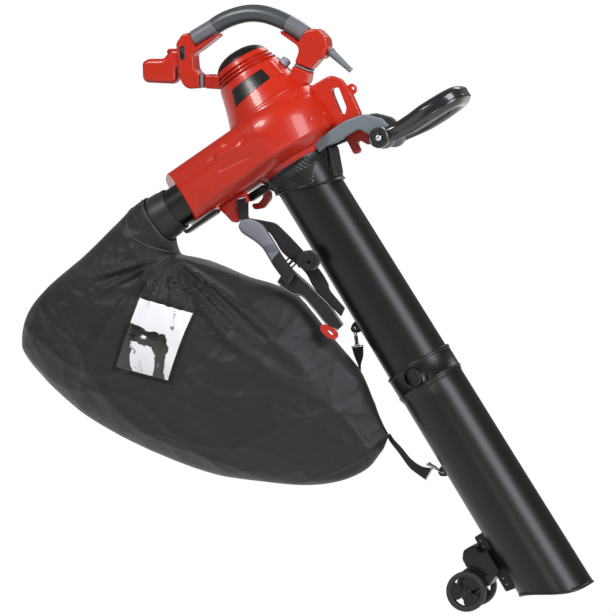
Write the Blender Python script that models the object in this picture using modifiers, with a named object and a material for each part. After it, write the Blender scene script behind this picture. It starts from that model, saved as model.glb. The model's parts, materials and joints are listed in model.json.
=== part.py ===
"""Leaf blower vacuum with its bag, two part suction tube, wheels and folded shoulder strap.

Every size below is in millimetres and becomes metres in the helpers. Most of the machine is drawn
in its own frame: Z runs up the motor shaft, X towards the front, -Y towards the side with the
switch. An empty tilts that frame to the angle at which the machine is carried, with the middle of
the main grip at the origin. The bag and the strap hang in the upright frame.
"""

import math

import bmesh
import bpy
from mathutils import Matrix, Vector

MM = 0.001
GAP = 0.3

# Driving dimensions, in the machine frame
TILT = 33.0
GRIP_CENTRE = (34.0, 213.0)
GRIP_RADIUS = 15.5
SHAFT_X = -11.0
POST_DEPTH = 36.0
SWITCH = (-78.0, 210.0)

SCROLL_TOP, SCROLL_BOTTOM = 40.0, -58.0
SHOULDER, BULGE = 30.0, -4.0
BEAD_TOP, BEAD_BOTTOM = -38.0, -44.0
SCROLL_START, SCROLL_END = 92.0, 108.0
SCROLL_WALL = 3.0
DUCT_NEAR = (-188.0, -94.0)
DUCT_FAR = (-236.0, -2.0)
CONE_RADIUS = 82.0
NECK_RADIUS, NECK_BOTTOM = 65.0, -66.0

COVER_TOP, COVER_FOOT, SKIRT_BOTTOM = 142.0, 40.0, 22.0
COVER_RADIUS, SKIRT_RADIUS = 82.0, 86.5
COVER_GROOVES = (130.0, 123.0, 116.0)

SPOUT_Y, SPOUT_Z = -50.0, -17.0
SPOUT_RADIUS, SPOUT_WALL = 36.0, 2.5
SPOUT_TIP, SPOUT_ROOT = -262.0, -176.0

IMPELLER_RADIUS, IMPELLER_TOP = 74.0, 18.0
BLADES = 9
SHAFT_RADIUS = 5.0

TUBE_RADIUS, TUBE_WALL = 54.8, 2.5
COLLAR_BOTTOM = -165.0
SPIGOT_RADIUS, SPIGOT_LENGTH = 57.0, 34.0
SWELL_RADIUS, SWELL_Z = 59.0, -700.0
SOCKET_TOP, SOCKET_BOTTOM = -470.0, -518.0
SOCKET_RADIUS = 60.2
MOUTH_RADIUS = 61.0
MOUTH_LONG, MOUTH_SHORT = -952.0, -908.0

BOSS_WIDTH = 47.0
BRIDGE_TOP, BRIDGE_THICKNESS = -58.7, 7.6

PIVOT = (158.0, -113.0)
PIVOT_BORE = 4.3
ARM_Y, ARM_THICKNESS, ARM_EYE = 31.0, 14.0, 20.0
BOW_Y, BOW_X, BOW_RADIUS = 47.0, 299.0, 17.5
BOW_EYE, EYE_THICKNESS = 17.0, 15.0

RAIL_TOP, RAIL_BOTTOM = -779.0, -892.0
AXLE = (-142.0, -852.0)
WHEEL_RADIUS, WHEEL_WIDTH, WHEEL_Y = 35.0, 17.0, 34.0
AXLE_RADIUS, SPOKES = 3.0, 3

LUG_Y, LUG_THICKNESS = -42.0, 12.0
LUG_SLOT = (-117.0, -67.0)
EYE_X, UPPER_EYE, LOWER_EYE = -77.0, -361.0, -654.0

BAG_NECK_Y, BAG_Y = SPOUT_Y, -15.0
STRAP_Y, STRAP_BACK_Y = -58.0, -47.0
PAD_TOP = (36.0, -356.0)
BAND_WIDTH, BAND_THICKNESS = 15.0, 1.7

# Colours as the photograph shows them, in linear values
RED = (0.55, 0.022, 0.014)
BLACK = (0.014, 0.014, 0.013)
SOFT_GREY = (0.045, 0.050, 0.053)
KNOB_GREY = (0.22, 0.22, 0.30)
CLOTH = (0.020, 0.020, 0.021)
PAD_GREY = (0.16, 0.17, 0.20)
STEEL = (0.55, 0.55, 0.56)
COPPER = (0.60, 0.25, 0.12)
BRASS = (0.60, 0.42, 0.16)


def clear_scene():
    for thing in list(bpy.data.objects):
        bpy.data.objects.remove(thing, do_unlink=True)


clear_scene()
parts = bpy.data.collections.new("leaf_blower_vacuum")
cutters = bpy.data.collections.new("cutters")
bpy.context.scene.collection.children.link(parts)
bpy.context.scene.collection.children.link(cutters)


def empty(name, location, rotation=(0, 0, 0), parent=None):
    thing = bpy.data.objects.new(name, None)
    thing.location = Vector(location) * MM
    thing.rotation_euler = [math.radians(angle) for angle in rotation]
    thing.parent = parent
    parts.objects.link(thing)
    return thing


def machine_origin():
    """Where the machine frame's origin lies when the grip's middle is at the world's origin."""
    turn = Matrix.Rotation(math.radians(-TILT), 3, "Y")
    return -(turn @ Vector((GRIP_CENTRE[0], 0, GRIP_CENTRE[1])))


machine = empty("machine", machine_origin(), (0, -TILT, 0))


def material(name, colour, roughness=0.5, metallic=0.0):
    made = bpy.data.materials.new(name)
    made.use_nodes = True
    shader = made.node_tree.nodes["Principled BSDF"]
    shader.inputs["Base Color"].default_value = (*colour, 1.0)
    shader.inputs["Roughness"].default_value = roughness
    shader.inputs["Metallic"].default_value = metallic
    made.diffuse_color = (*colour, 1.0)
    return made


def add(name, data, at=(0, 0, 0), rotation=(0, 0, 0), parent=machine):
    """An object in the parts collection, placed in millimetres and degrees under its parent."""
    thing = bpy.data.objects.new(name, data)
    thing.location = Vector(at) * MM
    thing.rotation_euler = [math.radians(angle) for angle in rotation]
    thing.parent = parent
    parts.objects.link(thing)
    return thing


def finish(thing, colour, roughness=0.5, metallic=0.0):
    """Gives the piece its own material, and smooth shading with crisp edges."""
    thing.data.materials.clear()
    thing.data.materials.append(material(thing.name, colour, roughness, metallic))
    if thing.type == "MESH":
        thing.data.shade_smooth()
        thing.data.set_sharp_from_angle(angle=math.radians(35))
    return thing


def boolean(thing, other, operation):
    """A live Boolean whose second piece becomes a hidden cutter."""
    change = thing.modifiers.new(operation.lower(), "BOOLEAN")
    change.operation = operation
    change.object = other
    if other.name not in cutters.objects:
        for home in other.users_collection:
            home.objects.unlink(other)
        cutters.objects.link(other)
        other.hide_render = True
        other.display_type = "WIRE"
    return thing


def cut(thing, *others):
    for other in others:
        boolean(thing, other, "DIFFERENCE")
    return thing


def join(thing, *others):
    for other in others:
        boolean(thing, other, "UNION")
    return thing


def rounded(corners):
    """The points of a closed outline whose corners (x, y, radius) are filleted with arcs."""
    points = []
    for index, corner in enumerate(corners):
        here = Vector(corner[:2])
        radius = corner[2] if len(corner) > 2 else 0.0
        back = (Vector(corners[index - 1][:2]) - here).normalized()
        onward = (Vector(corners[(index + 1) % len(corners)][:2]) - here).normalized()
        half = back.angle(onward) / 2
        if radius <= 0 or half > math.radians(88):
            points.append(here)
            continue
        centre = here + (back + onward).normalized() * radius / math.sin(half)
        start = here + back * radius / math.tan(half) - centre
        sweep = math.pi - 2 * half
        steps = 2 if radius < 9 else 4
        side = math.copysign(1.0, start.cross(here - centre))
        for step in range(steps + 1):
            turn = Matrix.Rotation(side * sweep * step / steps, 2)
            points.append(centre + turn @ start)
    return points


def as_mesh(curve, keep_name):
    """The curve object turned into a mesh object, with its loose caps welded on."""
    bpy.context.view_layer.update()
    evaluated = curve.evaluated_get(bpy.context.evaluated_depsgraph_get())
    mesh = bpy.data.meshes.new_from_object(evaluated)
    shell = bmesh.new()
    shell.from_mesh(mesh)
    bmesh.ops.remove_doubles(shell, verts=shell.verts, dist=0.00002)
    bmesh.ops.recalc_face_normals(shell, faces=shell.faces)
    shell.to_mesh(mesh)
    shell.free()
    solid = bpy.data.objects.new(keep_name, mesh)
    solid.parent = curve.parent
    solid.matrix_local = curve.matrix_local
    parts.objects.link(solid)
    bpy.data.objects.remove(curve, do_unlink=True)
    return solid


def slab(name, loops, thickness, edge=0.0, at=(0, 0, 0), rotation=(0, 0, 0), parent=machine):
    """A flat outline, with any holes as further loops, given its thickness and rounded edges."""
    curve = bpy.data.curves.new(name, "CURVE")
    curve.dimensions = "2D"
    curve.fill_mode = "BOTH"
    for loop in loops:
        line = curve.splines.new("POLY")
        line.points.add(len(loop) - 1)
        for point, place in zip(line.points, loop):
            point.co = (place[0] * MM, place[1] * MM, 0, 1)
        line.use_cyclic_u = True
    curve.extrude = (thickness / 2 - edge) * MM
    curve.bevel_depth = edge * MM
    curve.bevel_resolution = 0 if edge < 3.5 else 1 if edge < 8 else 3
    curve.offset = -edge * MM
    drawn = add(name + "_outline", curve, at, rotation, parent)
    return as_mesh(drawn, name)


def upright(name, loops, thickness, y=0.0, edge=0.0, parent=machine):
    """A slab that stands in the machine's XZ plane with its middle at the given y."""
    return slab(name, loops, thickness, edge, (0, y, 0), (90, 0, 0), parent)


def turned(name, profile, steps=32, at=(0, 0, 0), rotation=(0, 0, 0), parent=machine, closed=True):
    """A profile of (radius, height) turned about the local Z axis."""
    mesh = bpy.data.meshes.new(name)
    edges = [(i, i + 1) for i in range(len(profile) - 1)]
    if closed:
        edges.append((len(profile) - 1, 0))
    mesh.from_pydata([(r * MM, 0, z * MM) for r, z in profile], edges, [])
    solid = add(name, mesh, at, rotation, parent)
    screw = solid.modifiers.new("turn", "SCREW")
    screw.steps = steps
    screw.render_steps = steps
    screw.use_merge_vertices = True
    screw.merge_threshold = 0.00001
    return solid


def rod(name, radius, length, at=(0, 0, 0), rotation=(0, 0, 0), parent=machine, sides=24):
    """A plain cylinder along its own Z axis, centred on its place."""
    shape = bmesh.new()
    bmesh.ops.create_cone(shape, cap_ends=True, segments=sides, radius1=radius * MM,
                          radius2=radius * MM, depth=length * MM)
    mesh = bpy.data.meshes.new(name)
    shape.to_mesh(mesh)
    shape.free()
    return add(name, mesh, at, rotation, parent)


def block(name, size, at=(0, 0, 0), rotation=(0, 0, 0), parent=machine, edge=0.0):
    """A box with its scale applied, and optionally a bevel."""
    shape = bmesh.new()
    bmesh.ops.create_cube(shape, size=1.0)
    bmesh.ops.scale(shape, vec=Vector(size) * MM, verts=shape.verts)
    mesh = bpy.data.meshes.new(name)
    shape.to_mesh(mesh)
    shape.free()
    solid = add(name, mesh, at, rotation, parent)
    if edge:
        bevel = solid.modifiers.new("edge", "BEVEL")
        bevel.width = edge * MM
        bevel.segments = 2
    return solid


def drill(thing, radius, *places):
    """Round holes along the machine's Y axis at each (x, z)."""
    for number, (x, z) in enumerate(places):
        cut(thing, rod(f"{thing.name}_hole_{number}", radius, 120, (x, 0, z), (90, 0, 0), sides=12))
    return thing


def tube(name, points, radius, radii=None, resolution=3, parent=machine, at=(0, 0, 0)):
    """A round bar along points, with an optional factor on the radius at each."""
    curve = bpy.data.curves.new(name, "CURVE")
    curve.dimensions = "3D"
    curve.use_fill_caps = True
    curve.bevel_depth = radius * MM
    curve.bevel_resolution = resolution
    line = curve.splines.new("POLY")
    line.points.add(len(points) - 1)
    for index, place in enumerate(points):
        line.points[index].co = (*(Vector(place) * MM), 1)
        line.points[index].radius = radii[index] if radii else 1.0
    drawn = add(name + "_path", curve, at, (0, 0, 0), parent)
    return as_mesh(drawn, name)


def smooth_path(knots, per_span=4):
    """Points along a Catmull-Rom curve through the knots."""
    knots = [Vector(knot) for knot in knots]
    ends = [2 * knots[0] - knots[1], *knots, 2 * knots[-1] - knots[-2]]
    path = []
    for span in range(len(knots) - 1):
        a, b, c, d = ends[span:span + 4]
        for step in range(per_span):
            t = step / per_span
            path.append(0.5 * (2 * b + (c - a) * t + (2 * a - 5 * b + 4 * c - d) * t * t
                               + (3 * b - a - 3 * c + d) * t ** 3))
    path.append(knots[-1])
    return path


def loft(name, rings, parent=machine):
    """A closed skin over rings of equal point counts, capped at both ends."""
    shape = bmesh.new()
    rows = [[shape.verts.new(Vector(point) * MM) for point in ring] for ring in rings]
    count = len(rings[0])
    for lower, upper in zip(rows, rows[1:]):
        for i in range(count):
            j = (i + 1) % count
            shape.faces.new((lower[i], lower[j], upper[j], upper[i]))
    shape.faces.new(rows[0])
    shape.faces.new(rows[-1])
    bmesh.ops.recalc_face_normals(shape, faces=shape.faces)
    mesh = bpy.data.meshes.new(name)
    shape.to_mesh(mesh)
    shape.free()
    return add(name, mesh, parent=parent)


# Fan housing: a scroll with a tangential duct, in two halves

def scroll_section():
    """The housing's wall in section, as (inset, height): shoulder, bulging band, bead and tray."""
    shoulder = []
    for angle in (math.radians(degrees) for degrees in (90, 70, 50, 28, 0)):
        rise = (SCROLL_TOP - BULGE) * math.sin(angle)
        shoulder.append((SHOULDER * (1 - math.cos(angle)), BULGE + rise))
    bead = [(2.5, BEAD_TOP + 2.5), (-0.5, BEAD_TOP), (-0.5, BEAD_BOTTOM)]
    tray = [(5, BEAD_BOTTOM - 1.5), (8.5, SCROLL_BOTTOM + 6), (17, SCROLL_BOTTOM)]
    return shoulder + bead + tray


def scroll_outline(inset, end):
    """The scroll seen along the shaft: a spiral that grows clockwise, then the outlet duct."""
    first, last, count = 165.0, -90.0, 22
    points = []
    for step in range(count + 1):
        share = step / count
        angle = math.radians(first + (last - first) * share)
        radius = SCROLL_START + (SCROLL_END - SCROLL_START) * share - inset
        points.append((SHAFT_X + radius * math.cos(angle), radius * math.sin(angle)))
    near, far = Vector(DUCT_NEAR), Vector(DUCT_FAR)
    along = (far - near).normalized()
    inwards = Vector((along[1], -along[0])) * end
    near_slant, far_slant = 1.18, 1.05
    points.append(near + along * near_slant * inset + inwards)
    points.append(far - along * far_slant * inset + inwards)
    return points


def scroll_solid(name, grown):
    """The scroll as one solid, with its whole skin moved outwards by the given distance."""
    middle, half = (SCROLL_TOP + SCROLL_BOTTOM) / 2, (SCROLL_TOP - SCROLL_BOTTOM) / 2
    rings = []
    for inset, height in scroll_section():
        level = middle + (height - middle) * (half + grown) / half
        rings.append([(x, y, level) for x, y in scroll_outline(inset - grown, -grown)])
    return loft(name, rings)


def intake_cone(name, grown=0.0):
    """The cone under the tray, down to the neck that the collar meets."""
    low = NECK_BOTTOM - grown
    profile = [(0, BEAD_BOTTOM), (CONE_RADIUS + grown, BEAD_BOTTOM), (NECK_RADIUS + grown, low), (0, low)]
    return turned(name, profile, 32, (SHAFT_X, 0, 0), closed=False)


def scroll_half(name, side):
    """One half of the housing, split at the plane of the handle."""
    half = scroll_solid(name, 0.0)
    hole = rod(name + "_intake", NECK_RADIUS - 8, 50, (SHAFT_X, 0, NECK_BOTTOM + 13), sides=32)
    shaft_hole = rod(name + "_shaft_hole", 22, 30, (SHAFT_X, 0, SCROLL_TOP))
    spout_hole = rod(name + "_spout_hole", SPOUT_RADIUS + GAP, 90,
                     (DUCT_FAR[0] + 25, SPOUT_Y, SPOUT_Z), (0, 90, 0), sides=28)
    split = block(name + "_split", (600, 300, 400), (0, -side * (150 - GAP / 2), 0))
    join(half, intake_cone(name + "_cone"))
    cut(half, scroll_solid(name + "_chamber", -SCROLL_WALL), hole, shaft_hole, spout_hole, split)
    return finish(half, RED, 0.25)


scroll_half("scroll_near_half", -1)
scroll_half("scroll_far_half", 1)


def spout():
    """The outlet pipe that the bag's neck is pushed on, with a stop collar inside the duct."""
    inner = SPOUT_RADIUS - SPOUT_WALL
    profile = [(SPOUT_RADIUS, SPOUT_ROOT - SPOUT_TIP), (SPOUT_RADIUS, 8), (SPOUT_RADIUS - 1, 0),
               (inner, 0), (inner, SPOUT_ROOT - SPOUT_TIP)]
    pipe = turned("outlet_spout", profile, 28, (SPOUT_TIP, SPOUT_Y, SPOUT_Z), (0, 90, 0))
    return finish(pipe, BLACK, 0.35)


spout()


def impeller():
    """A back plate and hub with blades that curve back from the hub to the rim."""
    hub_bottom = -26.0
    profile = [(IMPELLER_RADIUS, IMPELLER_TOP), (IMPELLER_RADIUS, IMPELLER_TOP - 3),
               (20, IMPELLER_TOP - 3), (15, hub_bottom), (SHAFT_RADIUS + GAP, hub_bottom),
               (SHAFT_RADIUS + GAP, IMPELLER_TOP)]
    wheel = turned("impeller", profile, 28, (SHAFT_X, 0, 0))
    for number in range(BLADES):
        lean = 360 / BLADES * number
        outer, inner = [], []
        for step in range(6):
            radius = 13 + (IMPELLER_RADIUS - 14) * step / 5
            angle = math.radians(lean + 38 * (step / 5) ** 0.8)
            side = Vector((-math.sin(angle), math.cos(angle))) * 1.2
            place = Vector((radius * math.cos(angle), radius * math.sin(angle)))
            outer.append(place + side)
            inner.append(place - side)
        blade = slab(f"blade_{number}", [outer + inner[::-1]], 38, 0,
                     (SHAFT_X, 0, IMPELLER_TOP - 20))
        join(wheel, blade)
    return finish(wheel, BLACK, 0.45)


impeller()


# Motor and its cover

def handle_base(name, corners):
    return upright(name, [rounded(corners)], POST_DEPTH, edge=3)


def cover_outside():
    """The cover's outer profile: a dome with ring grooves, then a skirt over the scroll's shoulder."""
    rim, shoulder = (47.5, COVER_TOP), (59.5, 113.0)
    slope = (shoulder[0] - rim[0]) / (rim[1] - shoulder[1])
    profile = [(0, COVER_TOP), rim]
    for height in COVER_GROOVES:
        for step, depth in ((1.4, 0.0), (0.0, 1.8), (-1.4, 0.0)):
            radius = rim[0] + slope * (rim[1] - height - step) - depth
            profile.append((radius, height + step))
    profile += [shoulder, (63.5, 96), (68.5, 78), (75.5, 57), (COVER_RADIUS, COVER_FOOT)]
    return profile + [(SKIRT_RADIUS, SKIRT_BOTTOM), (0, SKIRT_BOTTOM)]


def motor_cover():
    """The red dome over the motor, open below, with the two feet that carry the handle."""
    cover = turned("motor_cover", cover_outside(), 28, closed=False)
    rear = handle_base("rear_foot", [(-77.8, 136, 4), (-64.8, 157, 4), (-36, 136, 4), (-45, 112, 4)])
    front = handle_base("front_foot", [(99, 56, 4), (82, 82, 4), (70, 74, 4), (40, 66, 4),
                                       (40, 43, 4), (86, 43, 4)])
    inside = [(0, 150), (40, 150), (40, 139), (51.5, 116), (64, 78), (77, 30), (77, 0), (0, 0)]
    join(cover, rear, front)
    cut(cover, scroll_solid("cover_seat", GAP))
    cut(cover, turned("cover_inside", inside, 28, closed=False))
    cut(cover, rod("cap_clearance", 48, 40, (0, 0, 162), sides=28))
    return finish(cover, RED, 0.25)


motor_cover()


def vent_cap():
    """The dark domed cap on the motor cover, hollow below."""
    profile = [(0, 161), (14, 160.3), (27, 157.5), (38, 152.5), (45.5, 146), (47.3, 142.3),
               (44.0, 142.3), (36, 149.5), (20, 156), (0, 157.8)]
    cap = turned("vent_cap", profile, 28, closed=False)
    return finish(cap, BLACK, 0.4)


vent_cap()


def motor():
    """The universal motor under the cover: field, armature, bearings, bridge and brushes."""
    field = [(40, 100), (40, 58), (26, 58), (26, 100)]
    finish(turned("motor_field", field, 24, (SHAFT_X, 0, 0)), STEEL, 0.4, 0.8)
    shaft = [(0, 130), (SHAFT_RADIUS, 130), (SHAFT_RADIUS, 118), (11, 118), (11, 106),
             (SHAFT_RADIUS + 2, 106), (SHAFT_RADIUS + 2, 101), (24, 101), (24, 56),
             (SHAFT_RADIUS + 2, 56), (SHAFT_RADIUS + 2, 53), (SHAFT_RADIUS, 53),
             (SHAFT_RADIUS, -30), (0, -30)]
    finish(turned("motor_armature", shaft, 16, (SHAFT_X, 0, 0), closed=False), COPPER, 0.35, 0.9)
    for name, top in (("lower_bearing", 52.6), ("upper_bearing", 128.0)):
        ring = [(11, top), (11, top - 7), (SHAFT_RADIUS + GAP, top - 7), (SHAFT_RADIUS + GAP, top)]
        finish(turned(name, ring, 16, (SHAFT_X, 0, 0)), STEEL, 0.25, 1.0)
    foot = SCROLL_TOP + GAP
    plate = [(18, 52.6), (18, foot + 4), (56, foot + 4), (56, foot), (11 + GAP, foot), (11 + GAP, 52.6)]
    mount = turned("motor_plate", plate, 24, (SHAFT_X, 0, 0))
    finish(mount, STEEL, 0.4, 0.8)
    bridge = slab("motor_bridge", [rounded([(-31, -15, 6), (31, -15, 6), (31, 15, 6), (-31, 15, 6)])],
                  9, 0, (SHAFT_X, 0, 124))
    for side in (-1, 1):
        join(bridge, block(f"bridge_leg_{side}", (5, 16, 22), (SHAFT_X + side * 27.8, 0, 111.3)))
    cut(bridge, rod("bridge_bore", 11 + GAP, 30, (SHAFT_X, 0, 124), sides=16))
    finish(bridge, BLACK, 0.5)
    for name, side in (("near_brush", -1), ("far_brush", 1)):
        brush = block(name, (6, 12, 9), (SHAFT_X, side * (11 + GAP + 6), 112), edge=0.5)
        finish(brush, BRASS, 0.4, 0.9)


motor()


# Handle

def grip_path():
    """The middle line of the arched main grip, from the rear post to the front post."""
    knots = [(-52, 0, 221.5), (-18, 0, 219.5), (15, 0, 218), (50, 0, 208), (77, 0, 191),
             (99, 0, 166), (116, 0, 138), (126, 0, 116)]
    return smooth_path(knots, 3)


def main_grip():
    """The soft grip: a round bar along its arched middle line."""
    return finish(tube("main_grip", grip_path(), GRIP_RADIUS, resolution=3), SOFT_GREY, 0.6)


main_grip()


def grip_slot(name):
    """The space of the grip seen from the side, cut right across a post and open above."""
    path = grip_path()
    tip = (path[-1] - path[-2]).normalized() * GAP
    root = (path[0] - path[1]).normalized() * GAP
    path = [path[0] + root, *path, path[-1] + tip]
    above, below = [], []
    for before, here, after in zip([path[0], *path], path, [*path[1:], path[-1]]):
        way = (after - before).normalized()
        normal = Vector((-way[2], way[0]))
        middle = Vector((here[0], here[2]))
        above.append(middle + normal * 2 * GRIP_RADIUS)
        below.append(middle - normal * (GRIP_RADIUS + GAP))
    return upright(name, [above + below[::-1]], POST_DEPTH + 4)


def rear_post():
    """The red post at the back of the grip, with a saddle under the grip and the switch pocket."""
    corners = [(-44, 232, 8), (-60, 236, 8), (-76, 228, 8), (-104, 172, 14), (-107, 155, 12),
               (-85.5, 141, 4.5), (-72.5, 162, 4.5), (-75, 174, 8), (-62, 199, 6), (-53, 197, 4.5),
               (-4, 200, 4.5), (-16, 222, 5)]
    post = upright("rear_post", [rounded(corners)], POST_DEPTH, edge=4)
    cut(post, grip_slot("rear_grip_seat"))
    cut(post, block("switch_pocket", (25, 12, 8.6), (SWITCH[0], -POST_DEPTH / 2, SWITCH[1]), (0, -58, 0)))
    return finish(post, RED, 0.25)


rear_post()


def front_post():
    """The red post at the front of the grip, with a saddle and the bore of the cable sleeve."""
    corners = [(86, 84, 4.5), (109, 101, 6), (91, 142, 4.5), (104, 150, 4.5), (122, 122, 6),
               (140, 119, 8), (153, 111, 8), (158, 88, 8), (152, 76, 6), (134, 61, 6),
               (127, 65, 4.5), (104, 59, 4.5)]
    post = upright("front_post", [rounded(corners)], POST_DEPTH, edge=4)
    cut(post, grip_slot("front_grip_seat"))
    return finish(post, RED, 0.25)


front_post()


def damper(name, lower, upper, thickness):
    """A rubber ring between a post and its foot, along the line between two (x, z) ends."""
    middle = (Vector(lower) + Vector(upper)) / 2
    along = Vector(upper) - Vector(lower)
    lean = math.degrees(math.atan2(along[0], along[1]))
    size = (thickness - 2 * GAP, POST_DEPTH - 4, along.length - 3)
    ring = block(name, size, (middle[0], 0, middle[1]), (0, lean, 0), edge=1.5)
    return finish(ring, BLACK, 0.7)


damper("rear_damper", (-81.6, 138.6), (-68.6, 159.6), 9.0)
damper("front_damper", (101.4, 57.4), (84.1, 82.9), 4.8)


def handle_tail():
    """The rounded red pod behind the rear post, with the rear strap eye on its neck."""
    corners = [(-84, 190, 7), (-72, 216, 7), (-92, 230, 7), (-117, 223, 8), (-141, 237, 10),
               (-156, 235, 12), (-170, 214, 12), (-168, 198, 14), (-136, 180, 14), (-118, 180, 8),
               (-106, 196, 7)]
    pod = upright("handle_tail", [rounded(corners)], 30, edge=5.5)
    cut(pod, tail_seat())
    drill(pod, 3.0, (-100, 218))
    return finish(pod, RED, 0.25)


def tail_seat():
    """The side of the rear post, against which the pod ends."""
    corners = [(-76.6 - GAP, 228, 8), (-104 - GAP, 172, 14), (-60, 172, 0), (-40, 240, 0)]
    return upright("tail_seat", [rounded(corners)], POST_DEPTH + 4)


handle_tail()


def switch():
    """The rocker switch in the rear post: a bezel in the pocket and the rocker, tilted to off."""
    seat = empty("switch_seat", (SWITCH[0], -POST_DEPTH / 2 + 3.0, SWITCH[1]), (0, -58, 0), machine)
    bezel = block("switch_bezel", (24.4, 5.4, 8.0), parent=seat, edge=0.5)
    cut(bezel, block("rocker_window", (20, 20, 5.4), parent=seat))
    finish(bezel, BLACK, 0.45)
    outline = [(-9.4, -1), (-6, 2.4), (6, 2.4), (9.4, -1), (9.4, -3.6), (0, -1.6), (-9.4, -3.2)]
    rocker = slab("power_rocker", [outline], 4.8, rotation=(0, 0, -5), parent=seat)
    return finish(rocker, BLACK, 0.3)


switch()


def speed_knob():
    """The grey speed wheel on the cover's shoulder, with finger flutes."""
    seat = empty("knob_seat", (64.6, 0, 96.4), (0, 77, 0), machine)
    knob = turned("speed_knob", [(0, 10), (6.5, 10), (8.6, 8.5), (9.2, 2.5), (9.6, 0), (0, 0)], 24,
                  parent=seat, closed=False)
    for number in range(8):
        angle = math.radians(45 * number)
        flute = rod(f"flute_{number}", 1.6, 12, (9.9 * math.cos(angle), 9.9 * math.sin(angle), 8),
                    parent=seat, sides=10)
        cut(knob, flute)
    return finish(knob, KNOB_GREY, 0.4)


speed_knob()


def cable_sleeve():
    """The ribbed rubber sleeve where the mains cable leaves the front post, bored for the cable."""
    length, ribs = 50.0, 4
    profile = [(3.4, length), (4.6, length)]
    for rib in range(ribs):
        top = length - 5 - rib * 8
        radius = 4.8 + 0.35 * rib
        profile += [(radius, top), (radius - 0.9, top - 0.8), (radius - 0.9, top - 2.6),
                    (radius + 0.1, top - 3.6)]
    profile += [(7.4, 10), (8.4, 3), (8.4, 0), (3.4, 0)]
    sleeve = turned("cable_sleeve", profile, 12, (147.6, 0, 67.6), (0, 164, 0))
    return finish(sleeve, BLACK, 0.6)


cable_sleeve()


# Front bracket, hooks and lugs

def front_bracket():
    """The red loop in front of the scroll, with its window and the front strap eye."""
    corners = [(70, 37, 3), (126, 33, 12), (139, 17, 12), (142, -13, 20), (136, -57, 6), (70, -57, 3)]
    window = [(115, 12, 5), (129, 7, 5), (122, -30, 6), (113, -40, 5), (106, -34, 5), (111, -1, 8)]
    loop = upright("front_bracket", [rounded(corners), rounded(window)], 16, edge=2.5)
    eye = [(137, 2, 2), (150, 1, 5), (155, -8, 6), (149, -17, 5), (137, -18, 2)]
    join(loop, upright("front_eye", [rounded(eye)], 7))
    skirt = [(0, COVER_FOOT + GAP), (COVER_RADIUS + 2 * GAP, COVER_FOOT + GAP),
             (SKIRT_RADIUS + 2 * GAP, SKIRT_BOTTOM - GAP), (0, SKIRT_BOTTOM - GAP)]
    cut(loop, scroll_solid("bracket_seat", GAP), turned("skirt_clearance", skirt, 28, closed=False))
    drill(loop, 2.8, (148, -8))
    return finish(loop, RED, 0.25)


front_bracket()


def front_hook():
    """The two pronged red hook under the front bracket that straddles the bracket's cross pin."""
    corners = [(112, -57.3, 2), (90, -79, 4), (88, -106, 3.5), (101, -110, 3.5), (103, -94, 4),
               (110, -90, 4), (120, -108, 3.5), (131, -102, 3.5), (128, -82, 8), (133, -57.3, 2)]
    return finish(upright("front_hook", [rounded(corners)], 14, edge=2), RED, 0.25)


front_hook()


def rear_hook():
    """The red hook whose open mouth faces the duct, under the collar's rear knuckle."""
    corners = [(-119, -78, 3), (-120, -90, 6), (-103, -97, 10), (-83, -90, 8), (-76, -76.5, 2),
               (-91, -76.5, 2), (-96, -81, 4), (-106, -84, 4)]
    return finish(upright("rear_hook", [rounded(corners)], 14, edge=2), RED, 0.25)


rear_hook()


def hook_seat(name, hole, towards, y=0.0):
    """An empty at a hole of the machine whose X axis points at a place in the upright frame."""
    turn = Matrix.Rotation(math.radians(-TILT), 3, "Y")
    start = machine_origin() + turn @ Vector((hole[0], 0, hole[1]))
    way = Vector((towards[0] - start[0], towards[1] - start[2]))
    return empty(name, (start[0], y, start[2]), (0, -math.degrees(math.atan2(way[1], way[0])), 0))


strap_seat = hook_seat("strap_seat", LUG_SLOT, PAD_TOP, LUG_Y)


def strap_lug():
    """The red ear under the duct, with the slot through which the shoulder strap's band is sewn."""
    corners = [(-162, -58.3, 2.5), (-157, -72, 6), (-153, -91, 6), (-145, -98, 5), (-137, -96, 5),
               (-131, -72.5, 2), (-107, -79, 4), (-103, -58.3, 2)]
    lug = upright("strap_lug", [rounded(corners)], LUG_THICKNESS, LUG_Y, 2)
    cut(lug, block("lug_slot", (4.6, 40, BAND_WIDTH + 2), parent=strap_seat))
    return finish(lug, RED, 0.25)


strap_lug()


def bag_latch():
    """The black sprung catch under the duct that holds the bag's neck on the spout."""
    corners = [(-70, 4, 2), (-66, -5, 2), (0, -5, 4), (5, 0, 3), (0, 3.4, 2), (-60, 1, 2)]
    latch = upright("bag_latch", [rounded(corners)], 22, SPOUT_Y - 16, 1)
    latch.location = Vector((-160, SPOUT_Y - 16, SCROLL_BOTTOM - 5)) * MM
    return finish(latch, BLACK, 0.4)


bag_latch()


# Tube collar, folding front handle and its bracket

def tube_collar():
    """The black collar that joins the tube to the intake, with a rear knuckle and a front boss."""
    inner = TUBE_RADIUS + GAP
    top = NECK_BOTTOM - GAP
    profile = [(NECK_RADIUS, top), (NECK_RADIUS - 0.8, -74), (58.8, -84), (58.0, COLLAR_BOTTOM),
               (inner, COLLAR_BOTTOM), (inner, top)]
    collar = turned("tube_collar", profile, 32, (SHAFT_X, 0, 0))
    knuckle = [(-119, -61, 5), (-119, -75, 5), (-104, -75, 3), (-66, -76, 0), (-66, -68, 0),
               (-78, -68, 1), (-82, -61, 2)]
    join(collar, upright("knuckle", [rounded(knuckle)], 22))
    below = [(-90, -84), (-40, -99), (30, -124), (60, -136), (60, -200), (-90, -200)]
    cut(collar, upright("collar_slope", [below], 200))
    boss = [(30, top), (64, top), (63, -80), (36, -130), (30, -130)]
    join(collar, upright("collar_boss", [boss], BOSS_WIDTH))
    cut(collar, rod("collar_bore", inner, 200, (SHAFT_X, 0, -120), sides=32))
    return finish(collar, BLACK, 0.4)


tube_collar()


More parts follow.
